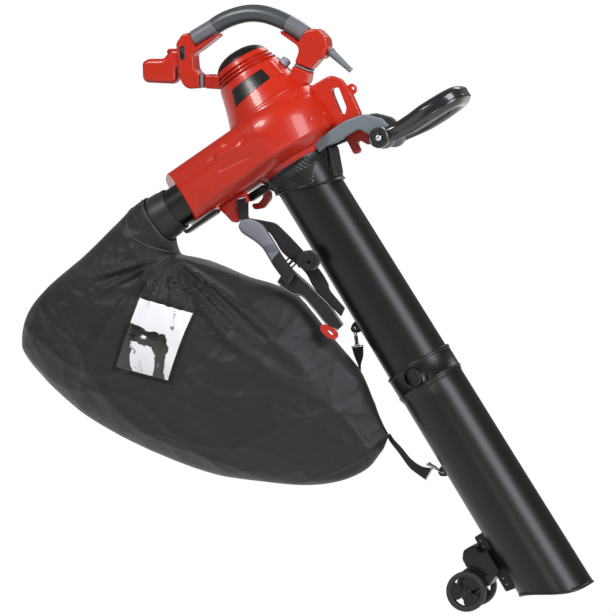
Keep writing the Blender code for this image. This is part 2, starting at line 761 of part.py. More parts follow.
def handle_bracket():
    """The fork between scroll and collar that carries the front handle: a bridge with two arched arms."""
    reach, width = 88.0, 2 * ARM_Y + ARM_THICKNESS
    bridge = [(30, -width / 2), (reach, -width / 2), (reach, width / 2), (30, width / 2)]
    middle = BRIDGE_TOP - BRIDGE_THICKNESS / 2
    fork = slab("handle_bracket", [bridge], BRIDGE_THICKNESS, 0, (0, 0, middle))
    x, z = PIVOT
    corners = [(44, -73, 3), (44, -50, 0), (114, -52, 30), (149, -60, 22), (172, -84, 14),
               (x + ARM_EYE, z, 0), (x - ARM_EYE, z, 0), (137, -94, 8), (128, -77.5, 10), (80, -75.5, 20),
               (60, -71.5, 8)]
    for name, y in (("near_arm", -ARM_Y), ("far_arm", ARM_Y)):
        eye = rod(name + "_eye", ARM_EYE, ARM_THICKNESS, (x, y, z), (90, 0, 0), sides=24)
        join(fork, upright(name, [rounded(corners)], ARM_THICKNESS, y), eye)
    collar_top = NECK_RADIUS + GAP
    around = [(0, NECK_BOTTOM), (collar_top, NECK_BOTTOM), (collar_top, -74.6), (59.4, -84.6),
              (59.4, -130), (0, -130)]
    cut(fork, scroll_solid("fork_seat", GAP), intake_cone("cone_clearance", GAP))
    cut(fork, turned("collar_clearance", around, 32, (SHAFT_X, 0, 0), closed=False))
    drill(fork, PIVOT_BORE, PIVOT)
    return finish(fork, SOFT_GREY, 0.35)


handle_bracket()


def oval(place, along, width, height, sides=12):
    """An upright ellipse round a place, square to a level direction."""
    across = Vector((-along[1], along[0], 0)).normalized()
    ring = []
    for step in range(sides):
        angle = 2 * math.pi * step / sides
        ring.append(place + across * width * math.cos(angle) + Vector((0, 0, height * math.sin(angle))))
    return ring


def front_handle():
    """The folding bow: two oval arms that swell from the pivot eyes to a round cross bar."""
    seat = empty("front_handle_axis", (PIVOT[0], 0, PIVOT[1]), parent=machine)
    bend, turn_in, drop = 86.0, 32.0, -8.0
    knots = [(4, -1, 0.42, 0.62), (34, -6, 0.45, 0.68), (58, drop, 0.75, 0.9), (bend, drop, 1, 1)]
    places = [Vector((x, -BOW_Y, z)) for x, z, wide, high in knots]
    sizes = [(wide, high) for x, z, wide, high in knots] + [(1, 1)] * 4
    for angle in (math.radians(degrees) for degrees in (22, 45, 67, 90)):
        ahead = (BOW_X - PIVOT[0] - bend) * math.sin(angle)
        places.append(Vector((bend + ahead, turn_in * (1 - math.cos(angle)) - BOW_Y, drop)))
    places += [Vector((place[0], -place[1], place[2])) for place in reversed(places)]
    sizes += sizes[::-1]
    rings = []
    for index, (place, (wide, high)) in enumerate(zip(places, sizes)):
        along = places[min(index + 1, len(places) - 1)] - places[max(index - 1, 0)]
        rings.append(oval(place, along, BOW_RADIUS * wide, BOW_RADIUS * high))
    bow = loft("front_handle", rings, seat)
    for side in (-1, 1):
        place = (0, side * BOW_Y, 0)
        join(bow, rod(f"pivot_eye_{side}", BOW_EYE, EYE_THICKNESS, place, (90, 0, 0), seat, 24))
        cut(bow, rod(f"pivot_hole_{side}", PIVOT_BORE, 24, place, (90, 0, 0), seat, 16))
    return finish(bow, BLACK, 0.4)


front_handle()


def pivot_bolt():
    """The through bolt of the front handle, with its far nut."""
    shank, nut, nut_height = 4.0, 9.0, 7.0
    reach = BOW_Y + EYE_THICKNESS / 2 + GAP
    profile = [(0, reach + 6), (shank, reach + 6), (shank, -reach), (nut, -reach), (nut, -reach - nut_height),
               (0, -reach - nut_height)]
    bolt = turned("pivot_bolt", profile, 16, (PIVOT[0], 0, PIVOT[1]), (90, 0, 0), closed=False)
    return finish(bolt, STEEL, 0.35, 1.0)


pivot_bolt()


def clamp_knob():
    """The round knob that clamps the front handle, with six notches and a bright centre."""
    outside = -BOW_Y - EYE_THICKNESS / 2 - 2 * GAP
    seat = empty("clamp_knob_axis", (PIVOT[0], outside, PIVOT[1]), (90, 0, 0), machine)
    profile = [(0, 14), (6, 14), (7, 11), (14.5, 11), (18, 9), (18.5, 2), (17, 0), (PIVOT_BORE, 0),
               (PIVOT_BORE, 8), (0, 8)]
    knob = turned("clamp_knob", profile, 24, parent=seat, closed=False)
    for number in range(6):
        angle = 60 * number + 30
        place = (19.5 * math.cos(math.radians(angle)), 19.5 * math.sin(math.radians(angle)), 6)
        cut(knob, rod(f"knob_notch_{number}", 3.2, 20, place, parent=seat, sides=12))
    return finish(knob, BLACK, 0.35)


clamp_knob()


# Suction tube

def upper_tube():
    """The upper tube: straight in the collar, then slightly wider down to its spigot."""
    top, straight, end = NECK_BOTTOM - 4, COLLAR_BOTTOM - 5, SOCKET_TOP - SPIGOT_LENGTH
    outside = [(TUBE_RADIUS, top), (TUBE_RADIUS, straight), (SPIGOT_RADIUS, SOCKET_TOP), (SPIGOT_RADIUS, end)]
    profile = outside + [(radius - TUBE_WALL, height) for radius, height in reversed(outside)]
    return finish(turned("upper_tube", profile, 32, (SHAFT_X, 0, 0)), BLACK, 0.35)


upper_tube()


def mouth_cutter(name):
    """Everything below the slanted, slightly S shaped mouth."""
    left, right = SHAFT_X - MOUTH_RADIUS, SHAFT_X + MOUTH_RADIUS
    rim = []
    for step in range(9):
        share = step / 8
        height = MOUTH_SHORT + (MOUTH_LONG - MOUTH_SHORT) * (1 - math.cos(math.pi * share)) / 2
        rim.append((left + (right - left) * share, height))
    below = [(right + 30, rim[-1][1]), (right + 30, -1000), (left - 30, -1000), (left - 30, rim[0][1])]
    return upright(name, [rim + below], 200)


def lower_tube():
    """The lower tube: a socket over the upper tube, then a slow flare to the slanted mouth."""
    seat, start = SPIGOT_RADIUS + GAP, SPIGOT_RADIUS + 1
    bottom, stop = MOUTH_LONG - 8, SOCKET_TOP - SPIGOT_LENGTH - 2
    profile = [(SOCKET_RADIUS + 1.2, SOCKET_TOP), (SOCKET_RADIUS, SOCKET_TOP - 5),
               (SOCKET_RADIUS, SOCKET_BOTTOM + 2), (start, SOCKET_BOTTOM - 2), (SWELL_RADIUS, SWELL_Z),
               (MOUTH_RADIUS, bottom), (MOUTH_RADIUS - TUBE_WALL, bottom),
               (SWELL_RADIUS - TUBE_WALL, SWELL_Z), (start - TUBE_WALL, stop - 2), (seat, stop),
               (seat, SOCKET_TOP)]
    pipe = turned("lower_tube", profile, 32, (SHAFT_X, 0, 0))
    cut(pipe, mouth_cutter("mouth"))
    return finish(pipe, BLACK, 0.35)


lower_tube()


def coupling_latch():
    """The sprung tongue on the near side that locks the two tubes together."""
    corners = [(-8, 6, 3), (8, 6, 3), (10, -8, 3), (7, -24, 4), (-7, -24, 4), (-10, -8, 3)]
    place = (SHAFT_X, -SOCKET_RADIUS - 1.2 - 2.6, SOCKET_TOP - 14)
    latch = upright("coupling_latch", [rounded(corners)], 4, 0, 1)
    latch.location = Vector(place) * MM
    return finish(latch, BLACK, 0.4)


coupling_latch()


def tube_eye(name, height, outside):
    """A small eye on the rear of the tube, where a snap hook is clipped."""
    corners = [(SHAFT_X - outside + 4, 12, 1), (EYE_X + 1, 9, 4), (EYE_X - 7, 4, 4),
               (EYE_X - 7, -4, 4), (EYE_X + 1, -9, 4), (SHAFT_X - outside + 4, -12, 1)]
    eye = upright(name, [[(x, z + height) for x, z in rounded(corners)]], 4)
    drill(eye, 2.6, (EYE_X, height))
    cut(eye, rod(name + "_seat", outside + GAP, 60, (SHAFT_X, 0, height), sides=32))
    return finish(eye, BLACK, 0.4)


tube_eye("upper_strap_eye", UPPER_EYE, 56.2)
tube_eye("lower_strap_eye", LOWER_EYE, 59.0)


# Wheel carriage

def wheel_rail():
    """The rail on the back of the lower tube, with the holes that set the wheels' height."""
    corners = [(-68, RAIL_TOP, 2), (-88, RAIL_TOP, 3), (-90, RAIL_BOTTOM + 4, 3), (-68, RAIL_BOTTOM, 2)]
    rail = upright("wheel_rail", [rounded(corners)], 12)
    drill(rail, 2.2, *((-83, height) for height in (-790, -802, -866, -878)))
    cut(rail, rod("rail_seat", 60.6 + GAP, 200, (SHAFT_X, 0, (RAIL_TOP + RAIL_BOTTOM) / 2), sides=32))
    return finish(rail, BLACK, 0.4)


wheel_rail()


def wheel_carriage():
    """The fork that slides on the rail: a channel over it, a ribbed bridge and the axle boss."""
    x, z = AXLE
    corners = [(-73.5, -811, 3), (-88, -807, 3), (-88, -796, 5), (-97, -789, 6), (-113, -789, 9),
               (-123, -801, 9), (-124, -827, 8), (-134, -838, 6), (x - 13, z + 4, 10), (x - 6, z - 13, 8),
               (x + 12, z - 12, 8), (-106, -864, 8), (-90, -857, 6), (-73.5, -849, 3)]
    carriage = upright("wheel_carriage", [rounded(corners)], 44, edge=3)
    cut(carriage, block("rail_channel", (40, 12 + 2 * GAP, 200), (-90.4 - GAP + 20, 0, -830)))
    for number in range(4):
        place = (-137 + 4.5 * number, -49, -806 - 7.5 * number)
        cut(carriage, block(f"rib_groove_{number}", (60, 60, 2.4), place, (0, 35, 0)))
    cut(carriage, rod("axle_bore", AXLE_RADIUS + GAP, 60, (AXLE[0], 0, AXLE[1]), (90, 0, 0), sides=16))
    return finish(carriage, BLACK, 0.45)


wheel_carriage()


def wheel_axle():
    length = 2 * WHEEL_Y + WHEEL_WIDTH + 4
    axle = rod("wheel_axle", AXLE_RADIUS, length, (AXLE[0], 0, AXLE[1]), (90, 0, 0), sides=16)
    return finish(axle, STEEL, 0.3, 1.0)


wheel_axle()


def wheel(name, y):
    """An open wheel: a rim and a hub, joined by three broad spokes that leave narrow windows."""
    half = WHEEL_WIDTH / 2
    rim = [(WHEEL_RADIUS, half - 2), (WHEEL_RADIUS, -half + 2), (WHEEL_RADIUS - 2, -half),
           (WHEEL_RADIUS - 7, -half), (WHEEL_RADIUS - 7, half), (WHEEL_RADIUS - 2, half)]
    seat = empty(name + "_axis", (AXLE[0], y, AXLE[1]), (90, 0, 0), machine)
    disc = turned(name, rim, 24, parent=seat)
    join(disc, rod(name + "_hub", 9, WHEEL_WIDTH, parent=seat, sides=16))
    middle, spoke = 18.0, (24, 27, 11)
    for number in range(SPOKES):
        angle = 360 / SPOKES * number + 90
        place = (middle * math.cos(math.radians(angle)), middle * math.sin(math.radians(angle)), 0)
        join(disc, block(f"{name}_spoke_{number}", spoke, place, (0, 0, angle), seat))
    cut(disc, rod(name + "_bore", AXLE_RADIUS + GAP, 40, parent=seat, sides=16))
    return finish(disc, BLACK, 0.45)


wheel("near_wheel", -WHEEL_Y)
wheel("far_wheel", WHEEL_Y)


# Bag and strap, in the upright frame

def ellipse_ring(left, right, depth, middle, power=2.3, sides=20):
    """A superellipse whose long axis runs between two points of the XZ plane."""
    left, right = Vector(left), Vector(right)
    centre, half = (left + right) / 2, (right - left) / 2
    ring = []
    for step in range(sides):
        angle = 2 * math.pi * step / sides
        along = math.copysign(abs(math.cos(angle)) ** (2 / power), math.cos(angle))
        deep = math.copysign(abs(math.sin(angle)) ** (2 / power), math.sin(angle))
        place = centre + half * along
        ring.append((place[0], middle + depth * deep, place[1]))
    return ring


def bag():
    """The collection bag: cross sections from its neck at the spout's end to the tail at lower right."""
    stations = [((-148, -318), (-99, -392), 42), ((-174, -336), (-96, -406), 46),
                ((-201, -361), (-94, -413), 54), ((-270, -423), (-89, -419), 68),
                ((-341, -480), (-63, -424), 82), ((-385, -530), (-17, -438), 92),
                ((-397, -590), (31, -456), 97), ((-360, -641), (75, -467), 99),
                ((-290, -700), (110, -481), 99), ((-212, -743), (137, -505), 97),
                ((-120, -780), (168, -540), 92), ((-30, -806), (198, -574), 84),
                ((60, -815), (224, -603), 72), ((135, -818), (241, -628), 57),
                ((198, -808), (258, -668), 41), ((246, -785), (275, -706), 25),
                ((274, -752), (286, -724), 9)]
    rings = []
    for index, (left, right, depth) in enumerate(stations):
        share = min(1.0, index / 6)
        middle = BAG_NECK_Y + (BAG_Y - BAG_NECK_Y) * share * share * (3 - 2 * share)
        rings.append(ellipse_ring(left, right, depth, middle))
    return finish(loft("collection_bag", rings, None), CLOTH, 0.8)


bag()


def bag_neck_band():
    """The bag's hem, drawn tight round the spout."""
    inner, outer, length = SPOUT_RADIUS + GAP, 40.0, 34.0
    profile = [(outer - 1, length), (outer, length - 3), (outer, length - 12), (outer + 1.5, length - 15),
               (outer + 2.5, 0), (inner, 0), (inner, length)]
    band = turned("bag_neck_band", profile, 28, (SPOUT_TIP + GAP, SPOUT_Y, SPOUT_Z), (0, 90, 0))
    cut(band, scroll_solid("band_clearance", GAP))
    return finish(band, CLOTH, 0.8)


bag_neck_band()


def flat(name, corners, thickness, y, edge=0.0):
    """A strap drawn by its outline in the upright frame."""
    return upright(name, [rounded(corners)], thickness, y, edge, None)


def wire_section(radius, wire, sides=6):
    """The round section of a wire ring, as a profile to turn."""
    angles = [-2 * math.pi * side / sides for side in range(sides)]
    return [(radius + wire * math.cos(angle), wire * math.sin(angle)) for angle in angles]


def snap_hook(name, hole, towards):
    """A closed hook through the eye, its swivel barrel and the bar that the webbing is sewn round."""
    seat = hook_seat(name + "_seat", hole, towards)
    hook = turned(name, wire_section(6.5, 1.4), 16, (6.0, 0, 0), parent=seat)
    join(hook, rod(name + "_barrel", 3.4, 16, (20.5, 0, 0), (0, 90, 0), seat, 12))
    join(hook, block(name + "_bar", (3, 20, 3.5), (28.5, 0, 0), parent=seat))
    return finish(hook, BLACK, 0.35, 0.6)


snap_hook("tail_snap_hook", (EYE_X, LOWER_EYE), (284, -738))
snap_hook("side_snap_hook", (EYE_X, UPPER_EYE), (226, -590))


def bag_webbing():
    """The two webbing tabs that tie the bag to the tube's snap hooks."""
    tail = [(289, -731, 2), (304, -742, 6), (330, -752, 6), (352, -760, 2), (346, -781, 2),
            (318, -770, 8), (296, -757, 6), (283, -748.5, 2)]
    side = [(214, -573, 2), (236, -571, 2), (238, -596, 6), (240, -612, 2), (226, -594, 2), (217, -584, 4)]
    finish(flat("tail_webbing", tail, 2.4, -4), CLOTH, 0.7)
    finish(flat("side_webbing", side, 2.4, -4), CLOTH, 0.7)


bag_webbing()


def strap():
    """The folded shoulder strap: padded front half, back half, webbing, slider, roll and hook."""
    pad = [(26, -366, 6), (27, -354, 6), (36, -350, 6), (46, -350, 8), (60, -354, 8), (73, -364, 8),
           (92, -393, 14), (116, -428, 14), (126, -444, 3), (114, -462, 3), (92, -433, 14), (74, -405, 14),
           (64, -394, 10), (51, -385, 10), (34, -375, 8)]
    back = [(44, -350, 2), (72, -354, 8), (90, -358, 8), (104, -371, 8), (130, -394, 8), (168, -434, 8),
            (185, -459, 8), (189, -472, 8), (216, -502, 2), (209, -517, 2), (170, -480, 8), (147, -457, 8),
            (140, -430, 6), (126, -408, 4), (110, -416, 3), (103, -410, 4), (88, -386, 10), (66, -363, 8)]
    webbing = [(107, -453, 2), (126, -440, 2), (168, -477, 8), (190, -497, 8), (215, -528, 4), (213, -536, 3),
               (200, -540, 3), (186, -532, 6), (160, -505, 8), (148, -491, 5), (130, -478, 4), (121, -482, 2),
               (104, -472, 2)]
    finish(flat("strap_pad", pad, 9, STRAP_Y, 3), PAD_GREY, 0.85)
    finish(flat("strap_back", back, 5, STRAP_BACK_Y), CLOTH, 0.8)
    finish(flat("strap_webbing", webbing, 2.4, STRAP_BACK_Y - 4.5), CLOTH, 0.7)


strap()


def strap_loop():
    """The band that hangs the strap: down in front of the lug's bar and up behind it, and sewn
    together between the strap's pad and its back."""
    depth = LUG_THICKNESS / 2 + 0.8
    sewn_near, sewn_far = STRAP_Y + 4.5 + GAP - LUG_Y, STRAP_BACK_Y - 2.5 - GAP - LUG_Y
    outside = [(-1.2, -depth - BAND_THICKNESS), (-1.2, depth + BAND_THICKNESS), (9, depth + BAND_THICKNESS),
               (31, sewn_far), (50, sewn_far), (50, sewn_near), (30, sewn_near)]
    inside = [(-1.2 + BAND_THICKNESS, -depth), (-1.2 + BAND_THICKNESS, depth), (8.2, depth),
              (30, sewn_far - BAND_THICKNESS)]
    loop = slab("strap_loop", [outside, inside], BAND_WIDTH, parent=strap_seat)
    return finish(loop, CLOTH, 0.8)


strap_loop()


def strap_slider():
    """The ladder slider that shortens the strap, with its two slots."""
    seat = empty("slider_seat", (120, STRAP_BACK_Y - 4.6, -424), (0, 48, 0))
    slider = block("strap_slider", (18, 3.6, 18), parent=seat)
    for shift in (-4.2, 4.2):
        cut(slider, block(f"slider_slot_{shift}", (4.2, 20, 13), (shift, 0, 0), parent=seat))
    return finish(slider, BLACK, 0.4)


strap_slider()


def webbing_roll():
    """The spare webbing, rolled up: one band along a spiral whose turns never touch."""
    turns, first, pitch, band, points = 3.6, 5.0, 4.2, 2.4, 12
    outer, inner = [], []
    for step in range(int(turns * points) + 1):
        angle = 2 * math.pi * step / points
        radius = first + pitch * step / points
        way = Vector((math.cos(angle), math.sin(angle)))
        outer.append(way * radius)
        inner.append(way * (radius - band))
    place = (155, STRAP_BACK_Y - 12.3, -421)
    roll = slab("webbing_roll", [outer + inner[::-1]], 19, 0, place, (90, 0, 0), None)
    gap = min((outside - inside).length for index, outside in enumerate(outer)
              for inside in inner[index + points // 2:])
    print("least gap between the roll's turns", round(gap, 2), "mm")
    return finish(roll, CLOTH, 0.7)


webbing_roll()


def strap_snap_hook():
    """The red snap hook at the strap's lower end."""
    corners = [(175, -530, 4), (189, -532, 5), (205, -543, 5), (207, -552, 5), (200, -557, 5), (189, -553, 5),
               (176, -542, 5)]
    slot = [(189, -539, 2), (199, -546, 2), (197, -550, 2), (187, -544, 2)]
    hook = upright("strap_snap_hook", [rounded(corners), rounded(slot)], 8, STRAP_BACK_Y - 10.2, 0, None)
    return finish(hook, RED, 0.3)


strap_snap_hook()
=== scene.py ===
"""Looks of the leaf blower vacuum: its smooth moulded surfaces, its bag and strap, and the studio.

Sizes are in millimetres until the last step of each shape. Most pieces are drawn in the machine's own
frame, whose Z axis is the motor shaft and whose X axis points to the front; machine() tilts and moves
that frame to where the machine hangs from its grip. The bag and the strap are drawn in the upright
frame, in which the grip's middle is the origin.
"""

import json
import math

import bmesh
import bpy
import numpy as np
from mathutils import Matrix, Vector


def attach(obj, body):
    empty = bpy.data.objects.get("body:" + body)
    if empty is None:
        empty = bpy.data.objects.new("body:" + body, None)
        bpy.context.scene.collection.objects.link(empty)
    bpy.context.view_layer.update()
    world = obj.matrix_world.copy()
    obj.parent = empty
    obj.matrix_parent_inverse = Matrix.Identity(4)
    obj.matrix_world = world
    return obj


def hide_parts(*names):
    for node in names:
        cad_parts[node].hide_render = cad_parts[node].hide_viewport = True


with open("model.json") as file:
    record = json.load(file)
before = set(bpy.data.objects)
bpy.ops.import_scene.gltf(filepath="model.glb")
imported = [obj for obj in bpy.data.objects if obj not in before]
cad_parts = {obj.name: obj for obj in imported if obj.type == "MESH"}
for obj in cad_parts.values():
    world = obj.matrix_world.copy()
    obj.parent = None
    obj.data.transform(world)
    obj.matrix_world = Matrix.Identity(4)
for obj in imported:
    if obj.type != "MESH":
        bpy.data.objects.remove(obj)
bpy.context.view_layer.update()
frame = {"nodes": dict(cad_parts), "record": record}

MM = 0.001
LEAN = math.radians(33)
GRIP_CENTRE = (34.0, 213.0)
SHAFT_X = -11.0
SHAFT = (SHAFT_X, 0.0)


# Places and curves

def stacked(*parts):
    """Points from their coordinates, each spread to the shape of them all."""
    return np.stack(np.broadcast_arrays(*parts), axis=-1)


def machine(points):
    """Points of the machine's tilted frame, in millimetres, as metres in the upright frame."""
    points = np.asarray(points, float)
    x, y, z = points[..., 0] - GRIP_CENTRE[0], points[..., 1], points[..., 2] - GRIP_CENTRE[1]
    across = math.cos(LEAN) * x - math.sin(LEAN) * z
    up = math.sin(LEAN) * x + math.cos(LEAN) * z
    return stacked(across, y, up) * MM


def upright(points):
    """Points of the upright frame, in millimetres, as metres."""
    return np.asarray(points, float) * MM


def unit(vectors):
    """Vectors brought to a length of one."""
    return vectors / np.maximum(np.linalg.norm(vectors, axis=-1, keepdims=True), 1e-9)


def cross(a, b):
    """The cross product of vectors in a plane."""
    return a[..., 0] * b[..., 1] - a[..., 1] * b[..., 0]


def full_turn(steps):
    """Angles evenly spaced round a full turn."""
    return np.linspace(0, 2 * math.pi, steps, endpoint=False)


def line_length(points):
    """The length of a line of points up to each of them."""
    return np.concatenate([[0], np.cumsum(np.linalg.norm(np.diff(points, axis=0), axis=1))])


def smooth_step(x, low, high):
    """0 below low, 1 above high, and a cubic between."""
    t = np.clip((x - low) / (high - low), 0, 1)
    return t * t * (3 - 2 * t)


def round_rim(distance, edge):
    """A quarter circle's height: 0 at the rim, and 1 from the edge's width on."""
    return np.sqrt(1 - (1 - np.clip(distance / edge, 0, 1)) ** 2)


def superellipse(angle, power):
    """The cosine and the sine, each raised to the power with its sign kept."""
    return [np.sign(wave) * np.abs(wave) ** power for wave in (np.cos(angle), np.sin(angle))]


def straight(first, last, y, count):
    """Count points at one y on the straight line between two (x, z) points."""
    return np.linspace((first[0], y, first[1]), (last[0], y, last[1]), count)


def circle(x, z, radius, count=24):
    """Points on a circle in the side view."""
    angle = full_turn(count)
    return stacked(x + radius * np.cos(angle), z + radius * np.sin(angle))


def rectangle(middle, way, side, radius=0.0):
    """The (x, z, radius) corners of a rectangle, from its middle and its two half sides."""
    signs = ((-1, -1), (1, -1), (1, 1), (-1, 1))
    return [(*(np.array(middle) + a * np.array(way) + b * np.array(side)), radius) for a, b in signs]


def between(corners, count):
    """A grid of points bilinearly between four corners."""
    a, b, c, d = np.array(corners, float)
    u, v = np.linspace(0, 1, count[0])[:, None, None], np.linspace(0, 1, count[1])[:, None]
    return (a * (1 - u) + b * u) * (1 - v) + (d * (1 - u) + c * u) * v


def rim_distance(grid):
    """Each point's distance from the nearest side of a grid, by the lengths of its first two sides."""
    u, v = (np.linspace(0, 1, count) for count in grid.shape[:2])
    wide, high = np.linalg.norm(grid[-1, 0] - grid[0, 0]), np.linalg.norm(grid[0, -1] - grid[0, 0])
    return np.minimum(np.minimum(u, 1 - u)[:, None] * wide, np.minimum(v, 1 - v) * high)


def spoke(degrees):
    """A spoke's direction in the side view, and the direction square to it."""
    turn = math.radians(degrees)
    return np.array((math.cos(turn), math.sin(turn))), np.array((-math.sin(turn), math.cos(turn)))


def through(knots, count):
    """Count points on a smooth curve through the knots: a Catmull-Rom spline, even in its parameter."""
    knots = np.asarray(knots, float)
    ends = np.vstack([2 * knots[0] - knots[1], knots, 2 * knots[-1] - knots[-2]])
    place = np.linspace(0, len(knots) - 1, count)
    span = np.minimum(place.astype(int), len(knots) - 2)
    t = (place - span)[:, None]
    a, b, c, d = (ends[span + step] for step in range(4))
    return 0.5 * (2 * b + (c - a) * t + (2 * a - 5 * b + 4 * c - d) * t ** 2
                  + (3 * b - a - 3 * c + d) * t ** 3)


def filleted(corners, steps=6):
    """An outline of (x, z, radius) corners with each corner turned into an arc of that radius."""
    found = []
    count = len(corners)
    for index, corner in enumerate(corners):
        here = np.array(corner[:2], float)
        radius = corner[2] if len(corner) > 2 else 0.0
        if radius <= 0:
            found.append(here[None])
            continue
        back = np.array(corners[index - 1][:2], float) - here
        on = np.array(corners[(index + 1) % count][:2], float) - here
        back, on = unit(back), unit(on)
        half = math.acos(float(np.clip(back @ on, -1, 1))) / 2
        centre = here + unit(back + on) * radius / math.sin(half)
        start = here + back * radius / math.tan(half) - centre
        side = math.copysign(1.0, cross(start, here - centre))
        angle = side * (math.pi - 2 * half) * np.linspace(0, 1, steps + 1)
        found.append(centre + stacked(start[0] * np.cos(angle) - start[1] * np.sin(angle),
                                      start[0] * np.sin(angle) + start[1] * np.cos(angle)))
    return np.vstack(found)


# Meshes

def new_object(name, data):
    """An object of that data in the scene, at the origin."""
    made = bpy.data.objects.new(name, data)
    bpy.context.scene.collection.objects.link(made)
    return made


def shaded(mesh, sharp):
    """Smooth shading, in which edges of more than that many degrees stay sharp."""
    mesh.shade_smooth()
    mesh.set_sharp_from_angle(angle=math.radians(sharp))


def rounded_edges(piece, width, sharp):
    """A change that rounds edges of more than that many degrees to a width in millimetres."""
    change = piece.modifiers.new("rounded_edges", "BEVEL")
    change.width, change.segments = width * MM, 2
    change.limit_method, change.angle_limit = "ANGLE", math.radians(sharp)
    return change


def mesh_piece(name, points, faces, sharp=40.0):
    """A mesh object at the origin, with shared points merged, normals outwards and smooth shading."""
    mesh = bpy.data.meshes.new(name)
    mesh.from_pydata(points.tolist(), [], faces)
    shape = bmesh.new()
    shape.from_mesh(mesh)
    bmesh.ops.remove_doubles(shape, verts=shape.verts, dist=0.00001)
    bmesh.ops.recalc_face_normals(shape, faces=shape.faces)
    shape.to_mesh(mesh)
    shape.free()
    shaded(mesh, sharp)
    return new_object(name, mesh)


def grid_faces(rows, columns, wrap_rows=False, wrap_columns=True):
    """The quads of a grid of rows by columns points, joined round where asked."""
    i, j = np.meshgrid(np.arange(rows - (not wrap_rows)), np.arange(columns - (not wrap_columns)),
                       indexing="ij")
    down, right = (i + 1) % rows, (j + 1) % columns
    quads = np.stack([i * columns + j, i * columns + right, down * columns + right, down * columns + j],
                     axis=-1)
    return quads.reshape(-1, 4).tolist()


def skin(name, grid, wrap_rows=False, wrap_columns=True, caps=False, sharp=40.0):
    """A surface over a grid of points in metres, with flat caps on the first and last row if asked."""
    rows, columns = grid.shape[:2]
    faces = grid_faces(rows, columns, wrap_rows, wrap_columns)
    if caps:
        faces.append(list(range(columns)))
        faces.append(list(range((rows - 1) * columns, rows * columns)))
    return mesh_piece(name, grid.reshape(-1, 3), faces, sharp)


def about(centre, radius, angle, height):
    """Points round an axis along the machine's Z, from their radius, angle and height."""
    return stacked(centre[0] + radius * np.cos(angle), centre[1] + radius * np.sin(angle), height)


def turned(name, profile, steps=96, centre=SHAFT, closed=False, sharp=40.0):
    """A profile of (radius, height) turned about an axis along the machine's Z:
    P(v, a) = (cx + r(v) cos a, cy + r(v) sin a, z(v))."""
    profile = np.asarray(profile, float)
    grid = about(centre, profile[:, :1], full_turn(steps), profile[:, 1:])
    return skin(name, machine(grid), wrap_rows=closed, sharp=sharp)


def cross_turned(name, profile, x, z, y, steps=64, closed=True):
    """A profile of (radius, depth) turned about an axis along the machine's Y through (x, z):
    P(v, a) = (x + r(v) cos a, y + d(v), z + r(v) sin a)."""
    profile = np.asarray(profile, float)
    radius, depth, angle = profile[:, :1], profile[:, 1:], full_turn(steps)
    grid = stacked(x + radius * np.cos(angle), y + depth, z + radius * np.sin(angle))
    return skin(name, machine(grid), wrap_rows=closed)


def inset(outline, distance):
    """The outline moved inwards by a distance, each point along the mean normal of its two sides."""
    before, after = np.roll(outline, 1, axis=0), np.roll(outline, -1, axis=0)
    area = np.sum(cross(outline, after))
    along = (outline - before, after - outline)
    middle = sum(unit(stacked(-side[:, 1], side[:, 0])) for side in along)
    scale = 2 / np.maximum(np.sum(middle ** 2, axis=1, keepdims=True), 0.5)
    return outline + math.copysign(1.0, area) * middle * scale * distance


def plate(name, outline, low, high, edge, rise=4):
    """An outline in the XZ plane given a thickness from y = low to y = high, with quarter round edges:
    at angle t of the round the outline is inset by edge (1 - cos t) and lies edge (1 - sin t) inside."""
    outline = np.asarray(outline, float)
    rings = []
    for t in np.linspace(math.pi / 2, 0, rise + 1):
        flat = inset(outline, edge * (1 - math.cos(t)))
        rings.append((flat, low + edge * (1 - math.sin(t))))
    rings += [(flat, low + high - y) for flat, y in reversed(rings)]
    grid = np.stack([stacked(flat[:, 0], y, flat[:, 1]) for flat, y in rings])
    return skin(name, machine(grid), caps=True)


def merged_copy(node, edge):
    """A copy of a CAD node's mesh with its loose triangles merged, smooth between its sharp edges, and
    with its sharp edges rounded by the edge's width unless that is nought."""
    sharp = 40
    piece = frame["nodes"][node].copy()
    piece.data = frame["nodes"][node].data.copy()
    piece.name = node + "_skin"
    piece.parent = None
    for key in [key for key in piece.keys() if key.startswith("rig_")]:
        del piece[key]
    shape = bmesh.new()
    shape.from_mesh(piece.data)
    bmesh.ops.remove_doubles(shape, verts=shape.verts, dist=0.00001)
    bmesh.ops.dissolve_limit(shape, angle_limit=math.radians(1), verts=shape.verts, edges=shape.edges)
    shape.to_mesh(piece.data)
    shape.free()
    shaded(piece.data, sharp)
    bpy.context.scene.collection.objects.link(piece)
    if edge:
        rounded_edges(piece, edge, sharp).harden_normals = True
    return piece


BODY_OF = {node: body for body, nodes in frame["record"]["behaviour"]["bodies"].items() for node in nodes}
SLOT_OF = {row["node"]: row["material_slot"] for row in frame["record"]["subparts"]}


def dress(piece, material, node, body=None):
    """The piece gets its material and rides on the node's body, or on one that is given."""
    piece.data.materials.clear()
    piece.data.materials.append(material)
    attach(piece, body or BODY_OF[node])
    return piece


# Materials

def linear(code):
    """An sRGB hex colour as linear red, green, blue and alpha."""
    parts = [int(code[i:i + 2], 16) / 255 for i in (1, 3, 5)]
    return (*[c / 12.92 if c <= 0.04045 else ((c + 0.055) / 1.055) ** 2.4 for c in parts], 1.0)


def add_node(tree, kind, settings=None, inputs=None, outputs=None):
    """A node with its settings, each named input set to a value or linked from a socket, and each named
    output linked to a socket."""
    made = tree.nodes.new(kind)
    for key, value in (settings or {}).items():
        setattr(made, key, value)
    for key, value in (inputs or {}).items():
        if isinstance(value, bpy.types.NodeSocket):
            tree.links.new(value, made.inputs[key])
        else:
            made.inputs[key].default_value = value
    for key, socket in (outputs or {}).items():
        tree.links.new(made.outputs[key], socket)
    return made


